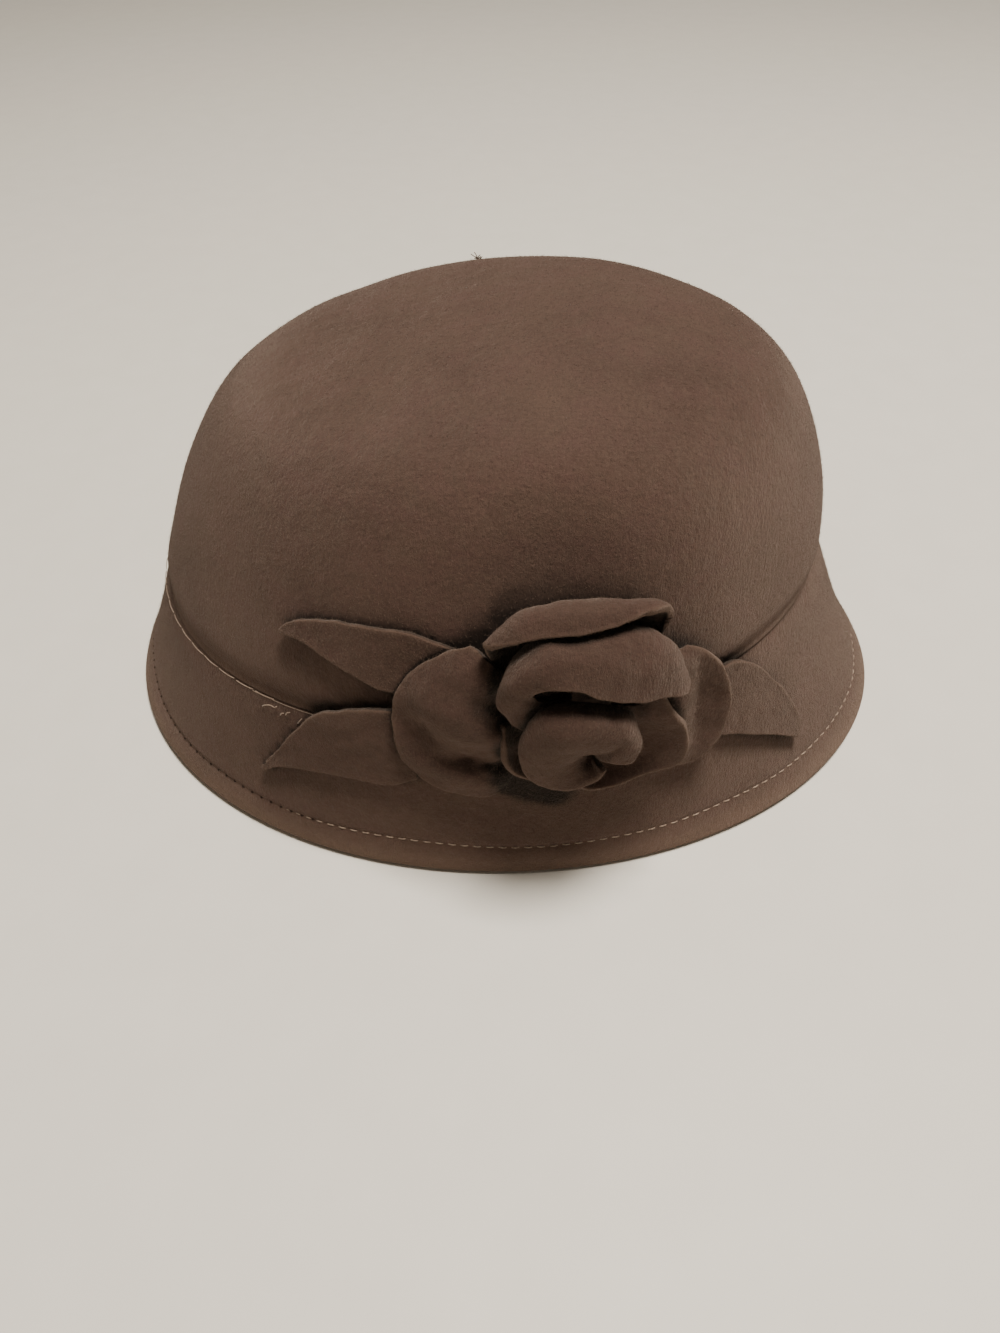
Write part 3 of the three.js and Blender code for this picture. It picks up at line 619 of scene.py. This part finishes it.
PETAL_RIGHT = [
    # root          inner         ridge           hollow         rim
    [[46, 12, 3], [50, 15, 5], [53, 17, 6.5], [56, 17, 6.5], [58, 17, 6]],
    [[46, 9, 3], [52, 12, 6.5], [55.5, 13.5, 8.4], [59.5, 13.5, 7.6], [63, 13.5, 7.8]],
    [[47, 5, 3], [52, 8, 6], [56, 8, 8.6], [61.5, 8.5, 7], [66.5, 9, 8.6]],
    [[47, 0, 3], [52, 2, 5.5], [56, 2, 8.6], [62, 2, 5.8], [69, 3, 9]],
    [[47, -4, 3], [51, -2, 5], [56, -3, 8], [61.5, -4, 5], [70, -3.5, 9]],
    [[47, -8, 3], [51, -8, 4.6], [56, -9, 6.4], [61, -10, 4.6], [69, -9, 8.2]],
    [[47, -11, 2.5], [52, -13, 4], [56, -15, 5.2], [60.5, -16, 4.4], [66, -15.5, 6.2]],
    [[47, -14, 2.5], [51, -17, 3], [55, -20, 3.8], [58, -21, 3.2], [61, -20, 4]],
]
LEAF_UPPER_LEFT = [
    # lower edge    middle        upper edge
    [[-48, 23, 1.5], [-47, 24, 1.5], [-46, 25, 1.5]],
    [[-44, 23, 2], [-44, 25, 1.6], [-43, 27, 1.6]],
    [[-38, 22, 2.4], [-37, 26, 1.8], [-36, 29, 1.6]],
    [[-31, 19, 2.6], [-29, 25, 2], [-28, 30, 1.6]],
    [[-24, 16, 2.6], [-21, 24, 2], [-18, 30, 1.8]],
    [[-16, 13, 1.8], [-13, 22, 1.8], [-10, 30, 1.8]],
    [[-9, 13, 1.5], [-6, 21, 1.5], [-3, 28, 2]],
    [[-2, 14, 1.4], [0, 20, 1.4], [4, 25, 1.6]],
]
LEAF_LOWER_LEFT = [
    # lower edge    middle        upper edge
    [[-51, -24, 1.5], [-51, -23, 1.5], [-50, -22, 1.5]],
    [[-47, -21, 2], [-46, -17, 1.6], [-45, -12, 1.5]],
    [[-42, -19, 2], [-41, -11, 1.6], [-40, -4, 1.6]],
    [[-37, -18, 2], [-36, -8, 1.8], [-35, 2, 1.8]],
    [[-30, -17, 2], [-29, -6, 1.8], [-28, 5, 2]],
    [[-22, -17, 2], [-22, -5, 1.8], [-21, 7, 2.2]],
    [[-15, -17, 1.6], [-15, -5, 1.6], [-14, 8, 1.8]],
    [[-8, -14, 1.4], [-8, -4, 1.4], [-8, 7, 1.4]],
]
LEAF_RIGHT = [
    # lower edge    middle        upper edge
    [[60, -12.4, 1.4], [62, -5, 1.4], [64, 3, 1.4]],
    [[69, -17.8, 2], [70, -7, 1.8], [71, 4.4, 1.8]],
    [[73.5, -20.5, 2.2], [76, -9, 2], [79, 2.4, 1.8]],
    [[78, -23.8, 2.2], [82.5, -13.5, 2], [86, -5, 1.8]],
    [[84.5, -28.6, 2], [88.5, -22.5, 1.8], [92, -16.5, 1.6]],
    [[89.5, -33, 1.8], [92, -29.5, 1.6], [94.8, -25.5, 1.6]],
    [[93, -36.4, 1.6], [94.2, -34.5, 1.6], [95.4, -32, 1.6]],
]


def make_felt_sheet(name, table, material, rows, columns, felt, wobble, seed):
    """A sheet of felt through a table of places, with a blunt cut edge that ends at the table's outline."""
    blunt = 0.3 * felt
    table = np.asarray(table, float)
    rough = on_hat(table)
    inset_u = blunt / np.linalg.norm(np.diff(rough, axis=0), axis=-1).sum(0).mean()
    inset_v = blunt / np.linalg.norm(np.diff(rough, axis=1), axis=-1).sum(1).mean()
    u = np.linspace(inset_u, 1 - inset_u, rows + 1)
    v = np.linspace(inset_v, 1 - inset_v, columns + 1)
    middle = on_hat(through(through(table, u, 0), v, 1))
    normal = facing_of(middle, False)
    uneven = wobble * waves(middle, 9, seed) + 0.5 * wobble * waves(middle, 4, seed + 50)
    middle = middle + normal * uneven[..., None]
    normal = facing_of(middle, False)

    def border(grid):
        """The grid's outline, once round."""
        return np.concatenate([grid[:-1, 0], grid[-1, :-1], grid[:0:-1, -1], grid[0, :0:-1]])

    rim, rim_normal = border(middle), border(normal)
    away = np.cross(np.roll(rim, -1, 0) - np.roll(rim, 1, 0), rim_normal)
    away /= np.maximum(np.linalg.norm(away, axis=-1, keepdims=True), 1e-9)
    eighth = len(rim) // 8
    if (rim[eighth] - middle[rows // 2, columns // 2]) @ away[eighth] < 0:
        away = -away
    # The cut is uneven by a few tenths of a millimetre, as scissors leave it.
    away = away * (1 + 0.35 * waves(rim, 5, seed + 80))[:, None]
    # A narrow line along the rim is paler.
    flat = middle.reshape(-1, 3)
    nearest = np.full(len(flat), 99.0)
    for start in range(0, len(rim), 16):
        part = rim[start:start + 16]
        nearest = np.minimum(nearest, np.linalg.norm(flat[:, None] - part[None], axis=-1).min(1))
    pale = np.exp(-(nearest / 0.5) ** 2).reshape(middle.shape[:-1]) * 0.35
    sheet = Sheet()
    face = sheet.grid(middle + normal * felt / 2, pale)
    back = sheet.grid(middle - normal * felt / 2, pale)
    turns = np.linspace(0, math.pi, 8)[1:-1]
    edge = np.stack([rim + rim_normal * (felt / 2 * math.copysign(abs(math.cos(a)) ** 0.6, math.cos(a)))
                     + away * blunt * math.sin(a) ** 0.6 for a in turns])
    cut = sheet.grid(edge, 0.75)
    sheet.skin(face)
    sheet.skin(back, flip=True)
    sheet.skin(np.concatenate([border(face)[None], cut, border(back)[None]]), True)
    return sheet.build(name, material)


FLOWER = [
    # name, table, rows, columns, felt, unevenness, seed
    ("bud", BUD, 120, 60, PETAL_FELT, 0.18, 21),
    ("petal_upper", PETAL_UPPER, 100, 56, PETAL_FELT, 0.25, 22),
    ("cup_petal", CUP_PETAL, 90, 36, PETAL_FELT, 0.22, 23),
    ("petal_back", PETAL_BACK, 80, 50, PETAL_FELT, 0.25, 24),
    ("petal_left", PETAL_LEFT, 80, 56, PETAL_FELT, 0.3, 25),
    ("petal_right", PETAL_RIGHT, 70, 50, PETAL_FELT, 0.25, 26),
    ("leaf_right", LEAF_RIGHT, 64, 32, LEAF_FELT, 0.18, 27),
    ("leaf_upper_left", LEAF_UPPER_LEFT, 80, 32, LEAF_FELT, 0.18, 28),
    ("leaf_lower_left", LEAF_LOWER_LEFT, 80, 32, LEAF_FELT, 0.18, 29),
]
trim = {name: make_felt_sheet(name + "_felt", table, flower_felt, rows, columns, felt, wobble, seed)
        for name, table, rows, columns, felt, wobble, seed in FLOWER}


FLOWER_MIDDLE = Vector(to_frame(on_hat([20, 0, 8])))
FLOWER_REACH = 90 * MM
PAINTED_SHADE_SIGHT = 25 * MM
# Painted shade is added round these places in the deep hollow between the bud and the brim, which hardly any
# light reaches.
BUD_HOLLOW_SHADE = [Vector(to_frame(on_hat(place))) for place in ([13, -12, 0], [18, -17, 0], [25, -20, 0])]
BUD_HOLLOW_SHADE_REACH = 5 * MM


def paint_fold_shade(pieces):
    """Gives each point of the felt a number from 0 in the open to 1 deep in a fold.

    It looks from the point in a few directions and counts the felt met within the sight distance, near felt
    more. The number is painted shade: the felt's colour is darkened by it, and more is added round the hollow
    under the bud.
    """
    corners, faces = [], []
    for piece in pieces:
        start = len(corners)
        corners.extend(vertex.co.copy() for vertex in piece.data.vertices)
        faces.extend([start + i for i in face.vertices] for face in piece.data.polygons)
    tree = BVHTree.FromPolygons(corners, faces)
    rng = np.random.default_rng(61)
    rays = rng.normal(size=(18, 3))
    rays /= np.linalg.norm(rays, axis=1, keepdims=True)
    for piece in pieces:
        mesh = piece.data
        closed = np.zeros(len(mesh.vertices), np.float32)
        for number, vertex in enumerate(mesh.vertices):
            if (vertex.co - FLOWER_MIDDLE).length > FLOWER_REACH:
                continue
            start = vertex.co + vertex.normal * 0.2 * MM
            stopped = 0.0
            for ray in rays:
                way = vertex.normal + Vector(ray)
                if way.length > 1e-3:
                    place, _, _, distance = tree.ray_cast(start, way.normalized(), PAINTED_SHADE_SIGHT)
                    if place is not None:
                        stopped += 1 - 0.6 * distance / PAINTED_SHADE_SIGHT
            closed[number] = stopped / len(rays)
            # Painted shade round the hollow under the bud, added to the counted one.
            for hollow in BUD_HOLLOW_SHADE:
                closed[number] += 0.8 * math.exp(-((vertex.co - hollow).length / BUD_HOLLOW_SHADE_REACH) ** 2)
        layer = mesh.attributes.new("painted_fold_shade", "FLOAT", "POINT")
        layer.data.foreach_set("value", np.clip((closed - 0.15) / 0.33, 0, 1))


# Painted shade in the folds of the crown, the brim and the flower.
paint_fold_shade([crown, brim, *trim.values()])

# -------- sewing and fuzz

def add_node(tree, kind, inputs=None, **settings):
    """A node with its settings, and its inputs given as values or as other nodes' sockets."""
    node = tree.nodes.new(kind)
    for setting, value in settings.items():
        setattr(node, setting, value)
    for key, value in (inputs or {}).items():
        if isinstance(value, bpy.types.NodeSocket):
            tree.links.new(value, node.inputs[key])
        else:
            node.inputs[key].default_value = value
    return node


def start_tree(name, sizes):
    """An empty geometry tree with named inputs."""
    tree = bpy.data.node_groups.new(name, "GeometryNodeTree")
    tree.interface.new_socket("Geometry", in_out="INPUT", socket_type="NodeSocketGeometry")
    tree.interface.new_socket("Geometry", in_out="OUTPUT", socket_type="NodeSocketGeometry")
    for label, kind in sizes:
        tree.interface.new_socket(label, in_out="INPUT", socket_type=kind)
    return tree, tree.nodes.new("NodeGroupInput")


def end_tree(tree, instances, group_input):
    """Realises the instances, gives them their material and smooths them."""
    realized = add_node(tree, "GeometryNodeRealizeInstances", {"Geometry": instances})
    painted = add_node(tree, "GeometryNodeSetMaterial", {"Geometry": realized.outputs[0],
                                                         "Material": group_input.outputs["Material"]})
    smooth = add_node(tree, "GeometryNodeSetShadeSmooth", {"Geometry": painted.outputs[0]})
    add_node(tree, "NodeGroupOutput", {"Geometry": smooth.outputs[0]})


def stitch_tree():
    """Evenly spaced bowed stitches along a guide whose points know which way is outward."""
    tree, given = start_tree("row_of_stitches", [
        ("Pitch", "NodeSocketFloat"), ("Stitch Length", "NodeSocketFloat"),
        ("Thread Thickness", "NodeSocketFloat"), ("Unevenness", "NodeSocketFloat"),
        ("Seed", "NodeSocketInt"), ("Material", "NodeSocketMaterial")])
    size = {socket.name: socket for socket in given.outputs}

    def times(value, by):
        return add_node(tree, "ShaderNodeMath", {0: value, 1: by}, operation="MULTIPLY").outputs[0]

    def at(x, z):
        return add_node(tree, "ShaderNodeCombineXYZ", {"X": times(size["Stitch Length"], x),
                                                       "Z": times(size["Thread Thickness"], z)}).outputs[0]

    curve = add_node(tree, "GeometryNodeMeshToCurve", {"Mesh": size["Geometry"]})
    spots = add_node(tree, "GeometryNodeResampleCurve", {"Curve": curve.outputs[0], "Length": size["Pitch"]},
                     mode="LENGTH")
    bow = add_node(tree, "GeometryNodeCurveQuadraticBezier",
                   {"Resolution": 6, "Start": at(-0.5, -0.9), "Middle": at(0, 1.1), "End": at(0.5, -0.9)})
    ring = add_node(tree, "GeometryNodeCurvePrimitiveCircle",
                    {"Resolution": 6, "Radius": times(size["Thread Thickness"], 0.5)})
    thread_shape = add_node(tree, "GeometryNodeCurveToMesh",
                            {"Curve": bow.outputs[0], "Profile Curve": ring.outputs[0], "Fill Caps": True})
    outward = add_node(tree, "GeometryNodeInputNamedAttribute", {"Name": "outward"}, data_type="FLOAT_VECTOR")
    jitter = add_node(tree, "FunctionNodeRandomValue",
                      {0: (-1, -1, -1), 1: (1, 1, 1), "Seed": size["Seed"]}, data_type="FLOAT_VECTOR")
    shake = add_node(tree, "ShaderNodeVectorMath", {0: jitter.outputs[0], 3: size["Unevenness"]},
                     operation="SCALE")
    tangent = add_node(tree, "GeometryNodeInputTangent")
    along = add_node(tree, "ShaderNodeVectorMath", {0: tangent.outputs[0], 1: shake.outputs[0]},
                     operation="ADD")
    up = add_node(tree, "FunctionNodeAlignRotationToVector", {"Vector": outward.outputs["Attribute"]},
                  axis="Z")
    turned = add_node(tree, "FunctionNodeAlignRotationToVector",
                      {"Rotation": up.outputs[0], "Vector": along.outputs[0]}, axis="X", pivot_axis="Z")
    placed = add_node(tree, "GeometryNodeInstanceOnPoints",
                      {"Points": spots.outputs[0], "Instance": thread_shape.outputs[0],
                       "Rotation": turned.outputs[0]})
    end_tree(tree, placed.outputs[0], given)
    return tree


def grow(name, guide, tree, values):
    """Runs a tree on a guide object and keeps the result as a plain mesh at the origin."""
    modifier = guide.modifiers.new("grow", "NODES")
    modifier.node_group = tree
    sockets = {item.name: item.identifier for item in tree.interface.items_tree if item.in_out == "INPUT"}
    for label, value in values.items():
        modifier[sockets[label]] = value
    made_mesh = bpy.data.meshes.new_from_object(guide.evaluated_get(bpy.context.evaluated_depsgraph_get()))
    guide.modifiers.remove(modifier)
    made_mesh.name = name
    made = bpy.data.objects.new(name, made_mesh)
    bpy.context.scene.collection.objects.link(made)
    return made


def guide_line(points, outward, closed):
    """A line of edges through points in mm; each carries the direction out of the felt."""
    count = len(points)
    edges = [(i, (i + 1) % count) for i in range(count if closed else count - 1)]
    mesh = bpy.data.meshes.new("guide")
    mesh.from_pydata(to_frame(points).tolist(), edges, [])
    layer = mesh.attributes.new("outward", "FLOAT_VECTOR", "POINT")
    layer.data.foreach_set("vector", np.asarray(outward, np.float32).reshape(-1))
    guide = bpy.data.objects.new("guide", mesh)
    bpy.context.scene.collection.objects.link(guide)
    return guide


ROW_OF_STITCHES = stitch_tree()


def sew(name, points, outward, closed, pitch, length, thickness, unevenness, seed, material):
    """A row of stitches along points in mm; pitch, length and thickness are in mm as well."""
    guide = guide_line(points, outward, closed)
    made = grow(name, guide, ROW_OF_STITCHES, {
        "Pitch": pitch * MM, "Stitch Length": length * MM, "Thread Thickness": thickness * MM,
        "Unevenness": unevenness, "Seed": seed, "Material": material})
    bpy.data.objects.remove(guide)
    return made


def seam_places(first, last, up, out):
    """Points along the seam between two places on it, and the way out of the felt at each."""
    along = np.linspace(first, last, 90)
    places = np.stack([along, np.full_like(along, up), np.zeros_like(along)], -1)
    outward = on_hat(places + np.array([0, 0, 1])) - on_hat(places)
    outward[:, 2] = 0.15
    outward /= np.linalg.norm(outward, axis=-1, keepdims=True)
    return on_hat(places) + outward * out, outward


HEM_PITCH = 3.5


def make_sewing():
    """The hem's topstitching, dark dashes of painted shade for its needle holes, and the seam's thread,
    thinner where it ends by the leaves.
    """
    angles = np.arange(AROUND) / AROUND * 2 * math.pi
    along = GIRTH[TABLE_ANGLES // 4] - np.interp(angles, np.linspace(0, 2 * math.pi, TABLE_ANGLES + 1), GIRTH)
    # Towards the back the topstitching is pulled right into the felt and only its needle holes show, as dashes
    # of painted shade.
    sunk = 0.42 * np.clip((-along - 30) / 18, 0, 1)
    topstitch = STITCH_LINE + STITCH_FACING * (0.14 - sunk)[:, None]
    holes = (along < -34) & (along > -170)
    marks = (STITCH_LINE + STITCH_FACING * 0.02)[holes]
    return [
        sew("hem_stitches", topstitch, STITCH_FACING, True, HEM_PITCH, 2.3, 0.42, 0.07, 5, thread),
        sew("needle_hole_shade_marks", marks, STITCH_FACING[holes], False, HEM_PITCH, 0.9, 0.55, 0.25, 6, hole_shade_wool),
        sew("seam_thread", *seam_places(-53.5, -190, 0.9, 0.05), False, 7.5, 6.6, 0.24, 0.03, 7, thread),
        sew("seam_thread_end", *seam_places(-39.5, -54, 0.7, 0.03), False, 7.2, 7.4, 0.13, 0.04, 8, thread),
    ]


def twist(sheet, line, radius, sides=7):
    """A thread of this radius along a line of points, with rounded ends."""
    line = np.asarray(line, float)
    ahead = np.gradient(line, axis=0)
    ahead /= np.linalg.norm(ahead, axis=-1, keepdims=True)
    side = np.cross(ahead, [0.31, 0.17, 0.94])
    side /= np.linalg.norm(side, axis=-1, keepdims=True)
    other = np.cross(ahead, side)
    turn = np.arange(sides) / sides * 2 * math.pi
    spokes = side[:, None] * np.cos(turn)[None, :, None] + other[:, None] * np.sin(turn)[None, :, None]
    numbers = sheet.grid(line[:, None] + spokes * radius)
    sheet.skin(numbers, True, flip=True)
    for end, way in ((0, -1), (-1, 1)):
        tip = sheet.grid((line[end] + ahead[end] * radius * 0.6 * way)[None, None])[0, 0]
        sheet.fan(numbers[end], tip, flip=way > 0)


# Each tack's route over the felt, as places like those of the petals.
TACKS = [
    [[-54, -3, 0], [-53, -2.2, 0.7], [-51, -1.2, 0.8], [-49.5, -1.4, 0.6], [-49, -0.9, 0]],
    [[-47.8, -3.4, 0], [-47, -2.4, 0.6], [-46.6, -2.3, 0.1]],
    [[-46, -2.6, 0], [-45.3, -1.6, 0.6], [-44.6, -1.2, 0]],
    [[-42, -4, 0], [-41.3, -3, 0.6], [-40.8, -2, 0]],
    [[-45.6, -15.8, 0.2], [-44.8, -15, 1], [-44, -14.2, 0.2]],
]
TACK_RADIUS = 0.15


def make_tacks():
    """Loose ends of the tacking thread between the leaves, worked in and out of the felt."""
    sheet = Sheet()
    pulled_flat = np.array([1, 1, 0.7])
    for places in TACKS:
        twist(sheet, on_hat(through(places, np.linspace(0, 1, 12), 0) * pulled_flat), TACK_RADIUS)
    return sheet.build("leaf_tacks", thread)


# The nub sits on the crown's skyline, at this row and line of the crown's outside.
LINT_PLACE = CROWN_OUTSIDE[53, 235]


def make_lint():
    """A nub of wool caught on the top of the crown."""
    sheet = Sheet()
    rng = np.random.default_rng(31)
    foot = LINT_PLACE - np.array([0, 0, 0.1])
    for _ in range(14):
        way = rng.normal(size=3) * np.array([0.7, 0.7, 0.35]) + np.array([0, 0, 0.6])
        bend = rng.normal(size=3) * 0.5
        twist(sheet, [foot + way * t * 1.5 + bend * t * t for t in np.linspace(0, 1, 5)], 0.13, 5)
    return sheet.build("lint_nub", loose_wool)


sewing = make_sewing() + [make_tacks()]


def fuzz_tree():
    """Short loose fibres scattered over felt, leaning every way and lying nearly flat."""
    tree, given = start_tree("loose_fibres", [
        ("Density", "NodeSocketFloat"), ("Fibre Length", "NodeSocketFloat"),
        ("Fibre Radius", "NodeSocketFloat"), ("Seed", "NodeSocketInt"), ("Material", "NodeSocketMaterial")])
    size = {socket.name: socket for socket in given.outputs}
    spots = add_node(tree, "GeometryNodeDistributePointsOnFaces",
                     {"Mesh": size["Geometry"], "Density": size["Density"], "Seed": size["Seed"]})
    fibre = add_node(tree, "GeometryNodeMeshCone",
                     {"Vertices": 3, "Radius Bottom": size["Fibre Radius"], "Radius Top": 0.0,
                      "Depth": size["Fibre Length"]})
    lean = add_node(tree, "FunctionNodeRandomValue",
                    {0: (0.9, 0, -math.pi), 1: (1.52, 0, math.pi), "Seed": size["Seed"]},
                    data_type="FLOAT_VECTOR")
    euler = add_node(tree, "FunctionNodeEulerToRotation", {0: lean.outputs[0]})
    turned = add_node(tree, "FunctionNodeRotateRotation",
                      {0: spots.outputs["Rotation"], 1: euler.outputs[0]}, rotation_space="LOCAL")
    long_or_short = add_node(tree, "FunctionNodeRandomValue", {2: 0.45, 3: 1.35, "Seed": size["Seed"]},
                             data_type="FLOAT")
    placed = add_node(tree, "GeometryNodeInstanceOnPoints",
                      {"Points": spots.outputs["Points"], "Instance": fibre.outputs["Mesh"],
                       "Rotation": turned.outputs[0], "Scale": long_or_short.outputs[1]})
    end_tree(tree, placed.outputs[0], given)
    return tree


LOOSE_FIBRES = fuzz_tree()


def outside_only(name, grid):
    """A guide skin over one grid of outside points."""
    sheet = Sheet()
    sheet.skin(sheet.grid(grid), True)
    return sheet.build(name, loose_wool)


def make_fuzz(name, guide, fibres, length, seed):
    """About so many loose fibres, of this length in mm, spread evenly over a guide."""
    area = sum(face.area for face in guide.data.polygons)
    return grow(name, guide, LOOSE_FIBRES, {
        "Density": fibres / area, "Fibre Length": length * MM, "Fibre Radius": 0.026 * MM, "Seed": seed,
        "Material": loose_wool})


def make_all_fuzz():
    """Fuzz on the outside of the crown and brim, and a shorter fuzz all over the flower and leaves."""
    made = []
    for name, grid, fibres, seed in (("crown_fuzz", CROWN_OUTSIDE, 47000, 41),
                                     ("brim_fuzz", BRIM_OUTSIDE, 40000, 42)):
        guide = outside_only("guide", grid)
        made.append(make_fuzz(name, guide, fibres, 1.1, seed))
        bpy.data.objects.remove(guide)
    for number, (node, piece) in enumerate(trim.items()):
        made.append(make_fuzz(node + "_fuzz", piece, 6000, 0.8, 50 + number))
    return made


fuzz = make_all_fuzz() + [make_lint()]

# -------- stage, light and camera

FLOOR_HALF_WIDTH = 1.4


def make_floor():
    """A plain pale table top with a soft painted grain."""
    mesh = bpy.data.meshes.new("table_top")
    far = FLOOR_HALF_WIDTH
    mesh.from_pydata([(-far, -far, 0), (far, -far, 0), (far, far, 0), (-far, far, 0)], [], [(0, 1, 2, 3)])
    mesh.materials.append(speckled_material("white_painted_wood", 0.55, 60, 4, (0, (0.82, 0.78, 0.705)),
                                            (1, (0.88, 0.84, 0.765)), (0.15, 0.0005)))
    top = bpy.data.objects.new("table_top", mesh)
    bpy.context.scene.collection.objects.link(top)


make_floor()

# Where the camera is and where it looks, in mm on the hat's axis.
EYE = (-244.7, -29.6, 230.4)
AIM = (-30.1, -7.1, 15.0)
ROLL = math.radians(-1.1)


def make_camera():
    """The view from the flower's side, a little from above."""
    data = bpy.data.cameras.new("camera")
    data.sensor_fit = "VERTICAL"
    data.sensor_height = 36
    data.lens = 26
    data.clip_start = 0.01
    camera = bpy.data.objects.new("camera", data)
    bpy.context.scene.collection.objects.link(camera)
    eye, aim = Vector(to_frame(EYE)), Vector(to_frame(AIM))
    camera.location = eye
    camera.rotation_mode = "QUATERNION"
    camera.rotation_quaternion = (aim - eye).to_track_quat("-Z", "Y") @ Quaternion((0, 0, 1), ROLL)
    bpy.context.scene.camera = camera


make_camera()


def make_area_light(name, place, size, power, colour):
    """A square soft light at a place, aimed at the hat."""
    data = bpy.data.lights.new(name, "AREA")
    data.shape = "SQUARE"
    data.size = size
    data.energy = power
    data.color = colour
    lamp = bpy.data.objects.new(name, data)
    bpy.context.scene.collection.objects.link(lamp)
    lamp.location = place
    lamp.rotation_mode = "QUATERNION"
    lamp.rotation_quaternion = (Vector((0, 0, 0.06)) - Vector(place)).to_track_quat("-Z", "Y")


make_area_light("ceiling_light", (-0.06, -0.30, 1.55), 0.42, 39, (1.0, 0.93, 0.83))


def make_room():
    """The even light that a pale room gives back."""
    world = bpy.data.worlds.new("pale_room")
    world.use_nodes = True
    background = world.node_tree.nodes["Background"]
    background.inputs["Color"].default_value = (0.62, 0.56, 0.47, 1)
    background.inputs["Strength"].default_value = 0.26
    bpy.context.scene.world = world


make_room()

# -------- pieces and their bodies

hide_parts("crown")
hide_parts("brim")
for node, piece in trim.items():
    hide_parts(node)
for piece in (crown, brim, *trim.values(), *sewing, *fuzz):
    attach(piece, "root")
